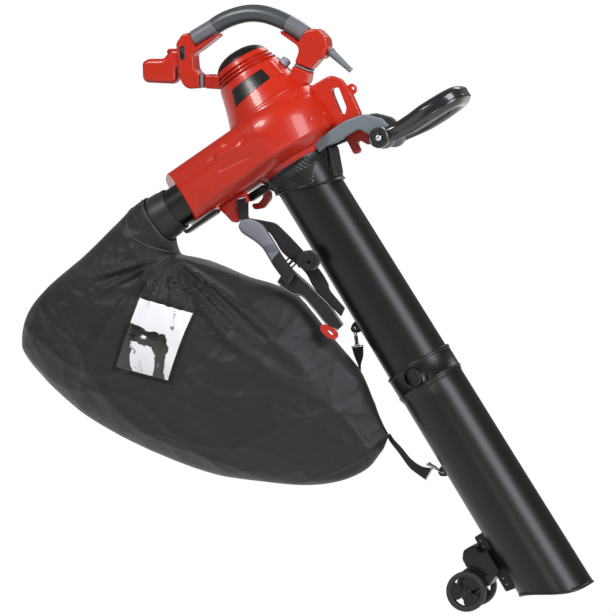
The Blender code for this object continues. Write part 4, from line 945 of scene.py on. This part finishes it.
def switch_bezel():
    """The black bezel round the rocker, a little proud of the post."""
    bezel = plate("bezel_ring", switch_outline(12.4, 4.4), -19, -12.6, 0.8, rise=3)
    combined(bezel, [cutter("bezel_window", switch_outline(10.2, 2.8), -24, -8)])
    dress(bezel, BLACK_NYLON, "switch_bezel")
    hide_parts("switch_bezel")


def dampers():
    """The two rubber rings between the posts and their feet: a black ring with a grey band let in."""
    rows = (("rear_damper", (-81.6, 138.6), (-68.6, 159.6), 8.4),
            ("front_damper", (101.4, 57.4), (84.1, 82.9), 4.2))
    parts = (("ring", 1.0, 0.0, RUBBER), ("band", 0.62, 0.7, DAMPER_GREY))
    for node, low, high, thick in rows:
        low, high = np.array(low), np.array(high)
        way, reach = unit(high - low), np.linalg.norm(high - low) / 2 - 1.5
        side = thick / 2 * np.array((way[1], -way[0]))
        for part, share, out, material in parts:
            outline = filleted(rectangle((low + high) / 2, (reach + out) * way, share * side, 0.8), steps=3)
            body = slab(f"{node}_{part}", outline, -16 - out, 16 + out, 0.6, material, node, rise=2)
            if part == "ring":
                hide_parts(node)


def cable_sleeve():
    """The smooth tapering sleeve where the cable leaves the front post."""
    lean, start = math.radians(164), (147.6, 0, 67.6)
    reach = np.concatenate([[0, 1, 2.6, 3.2, 4.5], np.linspace(6, 47, 12), [48.2, 49.3, 50]])
    path = start + reach[:, None] * (math.sin(lean), 0, math.cos(lean))
    radius = np.interp(reach, (0, 2.6, 3.2, 6, 47, 48.2, 50), (8.4, 8.4, 7.9, 7.0, 4.6, 5.0, 4.6))
    sleeve = along_path("sleeve_taper", path, radius, radius, sharp=30)
    dress(sleeve, GREY_NYLON, "cable_sleeve")
    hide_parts("cable_sleeve")


handle_posts()
switch_bezel()
dampers()
cable_sleeve()


def front_bracket():
    """The red loop in front of the scroll with its small eye."""
    corners = [(70, 37, 3), (126, 33, 16), (139, 17, 16), (142, -13, 26), (136, -57, 8), (70, -57, 3)]
    window = [(115, 12, 5), (129, 7, 5), (122, -30, 6), (113, -40, 5), (106, -34, 5), (111, -1, 8)]
    moulding("front_bracket", "bracket_loop", corners, 8, 3.5, RED_ABS, holes=(window,))
    outline = filleted([(137, 2, 2), (150, 1, 6), (155.5, -8, 7), (149, -17.5, 6), (137, -18, 2)])
    eye = plate("bracket_eye", outline, -3.5, 3.5, 1.6)
    combined(eye, [cutter("eye_hole", circle(148, -8, 2.8), -9, 9)])
    dress(eye, RED_ABS, "front_bracket")


def lug_slot():
    """The four corners, in the machine frame, of the lug's slot, which lies along the band's pull."""
    middle, pulled_to = np.array((-117, -67)), (36, -356)
    x, z = pulled_to - machine([(middle[0], 0, middle[1])])[0, [0, 2]] / MM
    turned_back = (math.cos(LEAN) * x + math.sin(LEAN) * z, math.cos(LEAN) * z - math.sin(LEAN) * x)
    way = unit(np.array(turned_back))
    return rectangle(middle, 2.3 * way, 8.5 * np.array((-way[1], way[0])))


def hooks_and_lug():
    """The two red hooks under the housing and the lug that holds the strap."""
    claw = [(112, -57.3, 2), (90, -79, 6), (88, -106, 5), (101, -110, 5), (103, -94, 5), (110, -90, 5),
            (120, -108, 5), (131, -102, 5), (128, -82, 10), (133, -57.3, 2)]
    moulding("front_hook", "front_claw", claw, 7, 2.6, RED_ABS)
    curl = [(-119, -78, 3.5), (-120, -90, 8), (-103, -97, 12), (-83, -90, 10), (-76, -76.5, 2),
            (-91, -76.5, 2), (-96, -81, 5), (-106, -84, 5)]
    moulding("rear_hook", "rear_curl", curl, 7, 2.6, RED_ABS)
    ear = [(-162, -58.3, 2.5), (-157, -72, 8), (-153, -91, 8), (-145, -98, 6), (-137, -96, 6),
           (-131, -72.5, 2), (-107, -79, 5), (-103, -58.3, 2.5)]
    moulding("strap_lug", "lug_ear", ear, 6, 2.4, RED_ABS, middle=-42, holes=(lug_slot(),))


def handle_fork():
    """The fork that carries the bow: two arms, a round cheek on each at the pivot, and the bridge."""
    arm = [(44, -73, 3), (44, -52, 4), (114, -52, 34), (149, -60, 26), (172, -84, 18), (178, -113, 14),
           (158, -133, 20), (138, -113, 14), (137, -94, 8), (128, -77.5, 10), (80, -75.5, 20), (60, -71.5, 8)]
    cheek = [(5, -7.2), (17.2, -7.2), (19, -6.6), (20, -5), (20, 5), (19, 6.6), (17.2, 7.2), (5, 7.2)]
    # The far arm takes the darker nylon: painted shade on the same grey nylon as the near arm.
    for name, y, material in (("near", -31, GREY_NYLON), ("far", 31, SHADED_NYLON)):
        slab(f"fork_{name}_arm", filleted(arm, 10), y - 7, y + 7, 3, material, "handle_bracket", rise=5)
    for name, y in (("near", -31), ("far", 31)):
        dress(cross_turned(f"fork_{name}_cheek", cheek, PIVOT_X, PIVOT_Z, y), GREY_NYLON, "handle_bracket")
    outline = filleted([(46, -66.3, 1), (88, -66.3, 2), (88, -58.7, 2), (46, -58.7, 1)])
    bridge = even_normals(plate("fork_bridge", outline, -37, 37, 1.0))
    dress(bridge, GREY_NYLON, "handle_bracket")
    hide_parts("handle_bracket")


front_bracket()
hooks_and_lug()
handle_fork()


def clamp_knob():
    """The clamp knob: a rim round a recess with six spokes, and a bright centre."""
    y = -55.1
    profile = [(4.3, 0), (17, 0), (18.3, -1.6), (18.5, -3), (18.0, -8.6), (17.2, -10.2), (15.6, -11),
               (14.8, -10.4), (14.2, -7.2), (7.6, -7.2), (7.2, -10.6), (6.6, -11.4), (4.3, -11.6)]
    knob = cross_turned("knob_body", profile, PIVOT_X, PIVOT_Z, y)
    dress(knob, BLACK_NYLON, "clamp_knob")
    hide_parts("clamp_knob")
    for number in range(6):
        way, side = spoke(60 * number + 57)
        rib = filleted(rectangle(10.75 * way + (PIVOT_X, PIVOT_Z), 4.25 * way, 1.3 * side))
        dress(plate(f"knob_rib_{number}", rib, y - 10.4, y - 5, 0.5, rise=2), BLACK_NYLON, "clamp_knob")
    cap = [(0, -14), (2.4, -13.8), (4.4, -13), (5.6, -11.8), (5.9, -10.8), (5.9, -6), (0, -6)]
    dress(cross_turned("knob_cap", cap, PIVOT_X, PIVOT_Z, y, closed=False), STEEL, "clamp_knob")


clamp_knob()


def wheels():
    """The two wheels: a tyre with a rounded tread, and a dished web of three broad spokes."""
    x, z = -142.0, -852.0
    tyre = [(26.5, -7), (28, -8.2), (31, -8.5), (33.4, -7.9), (34.7, -6.2), (35, -4), (35, 4), (34.7, 6.2),
            (33.4, 7.9), (31, 8.5), (28, 8.2), (26.5, 7)]
    hub = [(3.3, -8.5), (7.4, -8.5), (8.6, -7.9), (9, -6.8), (9, 6.8), (8.6, 7.9), (7.4, 8.5), (3.3, 8.5)]
    web = filleted([(6, -8, 1), (13, -13.5, 3), (24, -15.5, 1), (27.5, -9, 1), (28, 0, 0), (27.5, 9, 1),
                    (24, 15.5, 1), (13, 13.5, 3), (6, 8, 1)])
    for node, y in (("near_wheel", -34.0), ("far_wheel", 34.0)):
        ring = cross_turned(f"{node}_tyre", tyre, x, z, y, 96)
        dress(ring, RUBBER, node)
        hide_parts(node)
        dress(cross_turned(f"{node}_hub", hub, x, z, y), BLACK_PP, node)
        for number in range(3):
            way, side = spoke(120 * number - 90)
            outline = web[:, :1] * way + web[:, 1:] * side + (x, z)
            slab(f"{node}_web_{number}", outline, y - 5, y + 5, 1.2, BLACK_PP, node)


def carriage_ribs():
    """The raised ribs low on the carriage's near side."""
    ribs = (((-122, -812), (-104, -846)), ((-127, -823), (-112, -851)), ((-111, -814), (-96, -842)))
    for number, (top, foot) in enumerate(ribs):
        path = straight(top, foot, -22.2, 20)
        dress(along_path(f"carriage_rib_{number}", path, 1.3, 1.3, 16), BLACK_NYLON, "wheel_carriage")


def latch_guard():
    """The raised collar round the coupling latch, a ring standing on the lower tube, and the latch's rib."""
    middle = (SHAFT_X, SOCKET_TOP - 23)
    ring = plate("latch_guard", circle(*middle, 21, 64), -63.6, -57.5, 0.8, rise=3)
    combined(ring, [cutter("latch_well", circle(*middle, 18.2, 64), -70, -50)])
    dress(ring, BLACK_PP, "lower_tube")
    rib = filleted(rectangle((SHAFT_X, SOCKET_TOP - 19), (3, 0), (0, 11), 1))
    slab("latch_rib", rib, -68.2, -65.4, 1.0, BLACK_PP, "coupling_latch")


wheels()
carriage_ribs()
latch_guard()


# Pieces whose CAD shape is right, with smooth shading and rounded edges

def smooth_pieces():
    """Merged copies of the nodes whose form is right, so that they shade as moulded pieces."""
    edges = {
        "pivot_bolt": 0.3, "speed_knob": 0.4, "outlet_spout": 0.3, "bag_latch": 0.5,
        "coupling_latch": 0.4, "upper_strap_eye": 0.4, "lower_strap_eye": 0.4, "wheel_rail": 0.6,
        "wheel_carriage": 0.8, "power_rocker": 0.3, "impeller": 0.0, "motor_armature": 0.0,
        "motor_field": 0.0, "wheel_axle": 0.0, "tail_snap_hook": 0.0, "side_snap_hook": 0.0,
        "strap_snap_hook": 0.6, "strap_slider": 0.3, "strap_loop": 0.0, "bag_neck_band": 0.0,
    }
    special = {"wheel_axle": RUBBER, "power_rocker": BLACK_NYLON}
    for node, edge in edges.items():
        piece = merged_copy(node, edge)
        dress(piece, special.get(node, SLOT_MATERIAL[SLOT_OF[node]]), node)
        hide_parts(node)


smooth_pieces()


# Bag and strap

# Cross sections from the neck to the tail: left x and z, right x and z, and half the depth
BAG_STATIONS = [(-148, -318, -99, -392, 42), (-174, -336, -96, -406, 46), (-201, -361, -94, -413, 54),
                (-270, -423, -89, -419, 68), (-341, -480, -63, -424, 82), (-385, -530, -17, -438, 92),
                (-397, -590, 31, -456, 97), (-360, -641, 75, -467, 99), (-290, -700, 110, -481, 99),
                (-212, -743, 137, -505, 97), (-120, -780, 168, -540, 92), (-30, -806, 198, -574, 84),
                (60, -815, 224, -603, 72), (135, -818, 241, -628, 57), (198, -808, 258, -668, 41),
                (246, -785, 275, -706, 25), (274, -752, 286, -724, 9)]
# The clear window's middle and the reach round it within which the cloth is drawn flat
WINDOW_X, WINDOW_Z, WINDOW_REACH = -112, -562, 88


def bag_fold(x, z, side):
    """How far the folds lift the cloth at (x, z), in millimetres: soft ridges of (direction, height,
    length) along bent lines that leave the gathered corner under the neck. Each ridge is a bell across its
    line, narrow at the corner and wide at its far end."""
    corner_x, corner_z = -100, -418
    folds = ((-6, 9, 330), (-17, 6, 240), (-28, 12, 430), (-40, 7, 300), (-52, 11, 380), (-64, 6, 230),
             (-76, 12, 360), (-90, 7, 260), (-104, 12, 340), (-119, 7, 240), (-134, 11, 300), (-150, 7, 220),
             (-165, 9, 240))
    reach = np.hypot(x - corner_x, z - corner_z)
    angle = np.degrees(np.arctan2(z - corner_z, x - corner_x))
    lift = 0.0
    for number, (way, height, length) in enumerate(folds):
        way = way + (3.5 if side > 0 else 0.0) * math.sin(1.7 * number)
        bend = way + 10 * math.sin(2.1 * number) * (reach / 300) ** 1.4
        width = 3.2 + 0.8 * math.cos(number)
        bell = np.exp(-((angle - bend) / width) ** 2)
        ends = smooth_step(reach, 6, 60) * (1 - smooth_step(reach, 0.35 * length, length))
        lift = lift + height * bell * ends
    return lift


def crumple(x, z, seed):
    """Small creases: a sum of waves in seeded directions, from 34 to 190 mm long, sharpened to ridges."""
    random = np.random.default_rng(seed)
    total = 0.0
    for wave in np.geomspace(34, 190, 9):
        way, phase = random.uniform(0, math.pi), random.uniform(0, 2 * math.pi)
        bend = 0.6 * np.sin((x * math.sin(way) - z * math.cos(way)) / wave * 2.3 + phase)
        ridge = 1 - np.abs(np.sin((x * math.cos(way) + z * math.sin(way)) / wave * math.pi + phase + bend))
        total = total + 0.028 * wave * ridge ** 4
    return total


def bag_points(u, v):
    """The bag's surface in millimetres, for u from 0 at the neck to 1 at the tail and v round it in turns:
    cross sections between two lines, P = M + H(u) c(v) + D(u) s(v), where c and s are a superellipse's, a
    little pinched at the two sewn edges, then lifted by the folds and the creases."""
    stations = through(np.array(BAG_STATIONS, float), 801)
    place = np.linspace(0, 1, 801)
    left_x, left_z, right_x, right_z, depth = (np.interp(u, place, stations[:, k]) for k in range(5))
    angle = 2 * math.pi * v
    c, s = superellipse(angle, 2 / (2.25 - 0.35 * smooth_step(u, 0.05, 0.3)))
    x = (left_x + right_x) / 2 + (right_x - left_x) / 2 * c
    z = (left_z + right_z) / 2 + (right_z - left_z) / 2 * c
    middle = -50 + 35 * smooth_step(u, 0, 0.375)
    near, far = np.clip(-np.sin(angle), 0, 1) ** 0.5, np.clip(np.sin(angle), 0, 1) ** 0.5
    off_window = ((x - WINDOW_X) / WINDOW_REACH) ** 2 + ((z - WINDOW_Z) / WINDOW_REACH) ** 2
    near = near * (1 - 0.94 * np.exp(-off_window ** 2))

    def lifted(side, creases, seed, mean):
        """The folds and the creases of one side, less their mean height, softly started at the neck."""
        start = smooth_step(u, 0.01, 0.16)
        return start * (1.35 * bag_fold(x, z, side) + creases * crumple(x, z, seed) - mean)

    y = middle + depth * s - near * lifted(-1, 0.95, 3, 9) + far * lifted(1, 1.25, 4, 11)
    return stacked(x, y, z)


def weave_map(piece, across, along):
    """A UV map in metres, u in the direction across and v in the direction along, so that the weave has
    one size on all pieces."""
    mesh = piece.data
    corner, place = np.empty(len(mesh.loops), int), np.empty(len(mesh.vertices) * 3)
    mesh.loops.foreach_get("vertex_index", corner)
    mesh.vertices.foreach_get("co", place)
    flat = place.reshape(-1, 3)[corner] @ np.array((across, along), float).T
    mesh.uv_layers.new(name="weave").data.foreach_set("uv", flat.ravel())


def strip_map(piece, grid):
    """The weave's map on a strip that runs from its grid's first row to its last."""
    way = unit(grid[-1].mean(axis=0) - grid[0].mean(axis=0))
    weave_map(piece, (-way[2], 0, way[0]), way)


def collection_bag():
    """The bag: an open shell of cloth 0.8 mm thick, drawn over the spout at its neck."""
    rows, columns = 220, 240
    u, v = np.meshgrid(np.linspace(0, 1, rows), np.arange(columns) / columns, indexing="ij")
    grid = upright(bag_points(u, v))
    faces = grid_faces(rows, columns)
    faces.append(list(range((rows - 1) * columns, rows * columns)))
    bag = mesh_piece("bag_shell", grid.reshape(-1, 3), faces, 60)
    weave_map(bag, (1, 0, 0), (0, 0, 1))
    wall = bag.modifiers.new("cloth_thickness", "SOLIDIFY")
    wall.thickness, wall.offset = 0.8 * MM, -1
    dress(bag, BAG_CLOTH, "collection_bag")
    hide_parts("collection_bag")


collection_bag()


def bag_patch(name, corners, rise, edge, count, material):
    """A patch sewn on the bag's near panel: a bilinear grid between four (x, z) corners, for which Newton
    steps find the panel's points, and whose smoothed surface is lifted along y by the rise."""
    goal = between(corners, (count, count))
    share = np.full(goal.shape, (0.45, 0.75))
    step, sunk = 0.002, 1.5
    for _ in range(14):
        u, v = share[..., 0], share[..., 1]
        here = bag_points(u, v)[..., (0, 2)]
        by_u = (bag_points(u + step, v)[..., (0, 2)] - here) / step
        by_v = (bag_points(u, v + step)[..., (0, 2)] - here) / step
        miss, area = goal - here, cross(by_u, by_v)
        share = share + stacked(cross(miss, by_v), cross(by_u, miss)) / area[..., None]
        share = np.clip(share, (0.02, 0.52), (0.97, 0.98))
    points = bag_points(share[..., 0], share[..., 1])
    depth = points[..., 1]
    for _ in range(40):
        depth[1:-1, 1:-1] = (depth[:-2, 1:-1] + depth[2:, 1:-1] + depth[1:-1, :-2] + depth[1:-1, 2:]) / 4
    points[..., 1] -= (sunk + rise) * round_rim(rim_distance(points), edge) - sunk
    patch = skin(name, upright(points), wrap_columns=False, sharp=70)
    weave_map(patch, (1, 0, 0), (0, 0, 1))
    return dress(patch, material, "collection_bag")


def bag_window():
    """The clear window: a film between sewn borders on the near panel, and the binding round it."""
    outer = [(-148, -480), (-34, -508), (-80, -642), (-198, -620)]
    inner = [(-140, -488), (-43, -513), (-87, -633), (-188, -612)]
    bag_patch("window_binding", outer, 1.2, 1.5, 90, BINDING)
    bag_patch("window_film", inner, 2.0, 1.0, 80, WINDOW_FILM)


bag_window()


def bag_seam(name, low, high, bend=0.0, radius=1.5):
    """A sewn seam on the near panel: a thin round bead along a bowed line between two (u, v) ends."""
    share = np.linspace(0, 1, 80)
    u, v = np.linspace(low, high, 80).T
    path = bag_points(u + bend * np.sin(math.pi * share), v)
    path[:, 1] -= 0.8
    bead = along_path(name, path, radius, radius, 12, upright, lean=(0.6, 0.0, 0.8))
    return dress(bead, SEAM_TAPE, "collection_bag")


bag_seam("tail_seam", (0.80, 0.555), (0.975, 0.72), radius=0.9)
bag_seam("neck_hem", (0.012, 0.52), (0.012, 0.98))
bag_seam("neck_seam", (0.060, 0.52), (0.115, 0.985), 0.045)


def ribbon(name, left, right, middle, thick, count, sides, power):
    """A flat strap between two edges: P(s, a) = M(s) + W(s) c(a) + (y + t/2 s(a)), where c and s are a
    superellipse's, so that the faces are flat and the edges round."""
    left, right = through(left, count)[:, None], through(right, count)[:, None]
    c, s = superellipse(full_turn(sides), 2 / power)
    flat = (left + right) / 2 + (right - left) / 2 * c[:, None]
    grid = stacked(flat[..., 0], middle + thick / 2 * s, flat[..., 1])
    piece = skin(name, upright(grid), caps=True, sharp=60)
    strip_map(piece, grid)
    return piece


def stitched(name, points, radius, material, node):
    """A row of stitches or a piping laid along points: a thin round bar."""
    return dress(along_path(name, through(points, 120), radius, radius, 10, upright), material, node)


# The two edges of the strap's padded half and of its back half, as (x, z) in the upright frame
PAD_OUTER = [(30, -353), (45, -350), (59, -354), (72, -363), (82, -378), (92, -393), (104, -412), (116, -428),
             (125, -442)]
PAD_INNER = [(26, -364), (33, -374), (51, -385), (64, -394), (74, -405), (84, -421), (92, -433), (104, -448),
             (115, -461)]
BACK_OUTER = [(46, -350), (72, -354), (90, -358), (106, -371), (130, -394), (168, -434), (185, -459),
              (190, -473), (216, -502)]
BACK_INNER = [(44, -355), (62, -363), (78, -374), (90, -390), (104, -410), (142, -440), (158, -466),
              (174, -484), (209, -517)]


def strap():
    """The folded shoulder strap: the padded half with its piping, band and end cover, the back half, and
    the webbing with its stitched edges."""
    pad = ribbon("strap_cushion", PAD_INNER, PAD_OUTER, -58, 9, 120, 40, 2.6)
    dress(pad, PAD_CLOTH, "strap_pad")
    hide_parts("strap_pad")
    sleeve = ribbon("pad_sleeve", [(67, -398), (72, -403), (76, -408)], [(91, -392), (96, -399), (100, -406)],
                    -58, 9.9, 30, 40, 2.6)
    dress(sleeve, PAD_BAND, "strap_pad")
    cover = ribbon("pad_end_cover", [(86, -424), (100, -445), (116, -462.5)],
                   [(100, -406), (113, -424), (127, -443)], -58, 10.2, 40, 40, 2.6)
    dress(cover, WEBBING, "strap_pad")
    for name, edge in (("outer", PAD_OUTER), ("inner", PAD_INNER)):
        stitched(f"pad_piping_{name}", [(x, -58.0, z) for x, z in edge], 1.3, WEBBING, "strap_pad")
    back = ribbon("strap_back_pad", BACK_INNER, BACK_OUTER, -47, 5, 140, 32, 3.0)
    dress(back, BACK_CLOTH, "strap_back")
    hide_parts("strap_back")
    upper = [(114, -428), (128, -441), (150, -459), (168, -476), (190, -496), (215, -530)]
    lower = [(94, -460), (105, -471), (122, -481), (140, -485), (160, -505), (186, -534), (204, -541)]
    web = ribbon("strap_webbing_band", lower, upper, -51.5, 2.4, 90, 24, 6.0)
    dress(web, WEBBING, "strap_webbing")
    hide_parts("strap_webbing")
    for name, edge, shift in (("upper", upper, -2.2), ("lower", lower, 2.2)):
        line = [(x + 0.35 * shift, -52.8, z + 0.9 * shift) for x, z in edge]
        stitched(f"webbing_stitch_{name}", line, 0.5, THREAD, "strap_webbing")


def spare_roll():
    """The spare webbing, rolled: a band whose middle line is the spiral r = r0 + p t, seen from its edge."""
    turns, first, pitch, thick, wide = 3.6, 5.0, 4.2, 3.6, 19.0
    t = np.linspace(0, turns, 260)[:, None]
    angle = 2 * math.pi * t
    section = filleted(rectangle((0, 0), (thick / 2, 0), (0, wide / 2), 0.7), steps=3)
    radius = first + pitch * t - thick / 2 + section[:, 0]
    grid = stacked(155 + radius * np.cos(angle), -59.3 + section[:, 1], -421 + radius * np.sin(angle))
    roll = skin("webbing_coil", upright(grid), caps=True, sharp=50)
    strip_map(roll, grid)
    dress(roll, WEBBING, "webbing_roll")
    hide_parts("webbing_roll")


strap()
spare_roll()


def bag_tabs():
    """The two webbing tabs that tie the bag to the tube's snap hooks, each with the steel bar that the
    hook's end holds."""
    tail_top = [(285, -723), (292, -733), (307, -748), (323, -766), (342, -778), (362, -781)]
    tail_low = [(279.5, -728.5), (287, -740), (302, -758), (320, -781), (336, -793), (350, -802)]
    side_top = [(236, -571), (236, -589), (232, -604), (232, -622)]
    side_low = [(215, -574), (220, -590), (226, -604), (230, -621)]
    rows = (("tail_tab", "tail_webbing", tail_low, tail_top, -1, (0.024, 0.095), 0.0015),
            ("side_tab", "side_webbing", side_low, side_top, 0, (0.020, 0.050), 0.00068))
    for name, node, low, top, end, size, area in rows:
        tab = ribbon(name, low, top, -4, 2.4, 50, 24, 6.0)
        bar = straight(low[end], top[end], -4, 12)
        dress(along_path(f"{name}_bar", bar, 1.7, 1.7, 16, upright), STEEL, node)
        dress(tab, WEBBING, node)
        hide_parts(node)


bag_tabs()


# Studio

def cleared_tree(owner):
    """The node tree of a material or a world, without the nodes it starts with."""
    owner.use_nodes = True
    owner.node_tree.nodes.clear()
    return owner.node_tree


def seen_by(tree, first, second):
    """One for the two named kinds of ray, and nought for the others."""
    rays = add_node(tree, "ShaderNodeLightPath").outputs
    return arithmetic(tree, "MAXIMUM", rays[first], rays[second])


def white_floor():
    """A wide floor that the camera and mirrors see as plain white: near its middle it also takes light
    and shade as a matt surface, and farther out it only glows."""
    mesh = bpy.data.meshes.new("floor")
    reach, depth = 30.0, -1.45
    corners = [(-reach, -reach, depth), (reach, -reach, depth), (reach, reach, depth),
               (-reach, reach, depth)]
    mesh.from_pydata(corners, [], [(0, 1, 2, 3)])
    floor = new_object("floor", mesh)
    white = bpy.data.materials.new("white_floor")
    tree = cleared_tree(white)
    away = add_node(tree, "ShaderNodeVectorMath", {"operation": "LENGTH"},
                    {0: add_node(tree, "ShaderNodeTexCoord").outputs["Object"]}).outputs["Value"]

    def faded(near, far):
        """A value that changes softly between 0.7 and 2.6 m from the middle."""
        return add_node(tree, "ShaderNodeMapRange", {"interpolation_type": "SMOOTHSTEP"},
                        {"Value": away, "From Min": 0.7, "From Max": 2.6, "To Min": near,
                         "To Max": far}).outputs["Result"]

    strength = arithmetic(tree, "MULTIPLY", seen_by(tree, "Is Camera Ray", "Is Glossy Ray"), faded(0.62, 1.0))
    matt = add_node(tree, "ShaderNodeBsdfDiffuse", inputs={"Color": faded(0.75, 0.0)})
    glow = add_node(tree, "ShaderNodeEmission", inputs={"Strength": strength})
    both = add_node(tree, "ShaderNodeAddShader", None,
                    {0: matt.outputs["BSDF"], 1: glow.outputs["Emission"]})
    add_node(tree, "ShaderNodeOutputMaterial", inputs={"Surface": both.outputs["Shader"]})
    mesh.materials.append(white)


def white_world():
    """A world that the camera sees as white and that lights the scene with a fifth of that."""
    world = bpy.data.worlds.new("studio_world")
    bpy.context.scene.world = world
    tree = cleared_tree(world)
    seen = seen_by(tree, "Is Camera Ray", "Is Transmission Ray")
    level = arithmetic(tree, "MULTIPLY_ADD", seen, 0.80, 0.20)
    sky = add_node(tree, "ShaderNodeBackground", inputs={"Color": (1, 1, 1, 1), "Strength": level})
    add_node(tree, "ShaderNodeOutputWorld", inputs={"Surface": sky.outputs["Background"]})


def soft_lamps():
    """Four soft lamps aimed at the machine's middle: name, place, width, height, watts and colour."""
    lamps = (("key", (-1.4, -2.5, 1.9), 1.2, 0.9, 88, (1.0, 0.98, 0.96)),
             ("fill", (2.85, -1.45, 0.95), 1.35, 2.6, 106, (0.90, 0.93, 1.0)),
             ("rim", (0.6, 2.4, 1.6), 1.6, 1.0, 20, (1.0, 1.0, 1.0)),
             ("low", (1.3, -2.6, -0.75), 0.8, 0.5, 9, (1.0, 1.0, 1.0)))
    aim = Vector((0.1, 0, -0.45))
    for name, place, width, height, power, colour in lamps:
        light = bpy.data.lights.new(name, "AREA")
        light.shape, light.size, light.size_y = "RECTANGLE", width, height
        light.energy, light.color = power, colour
        lamp = new_object(name, light)
        lamp.location = place
        lamp.rotation_euler = (aim - Vector(place)).to_track_quat("-Z", "Y").to_euler()


def photo_camera():
    """The camera at the photograph's angle, 18 degrees round and 5 degrees up."""
    lens = bpy.data.cameras.new("camera")
    lens.sensor_width, lens.lens = 36, 217
    camera = new_object("camera", lens)
    back, target, distance = Vector((0.30784, -0.94744, 0.08716)), Vector((0.1335, 0, -0.5082)), 6.5
    camera.location = target + distance * back
    camera.rotation_euler = (-back).to_track_quat("-Z", "Y").to_euler()
    bpy.context.scene.camera = camera
    bpy.context.scene.view_settings.view_transform = "Standard"


white_floor()
white_world()
soft_lamps()
photo_camera()
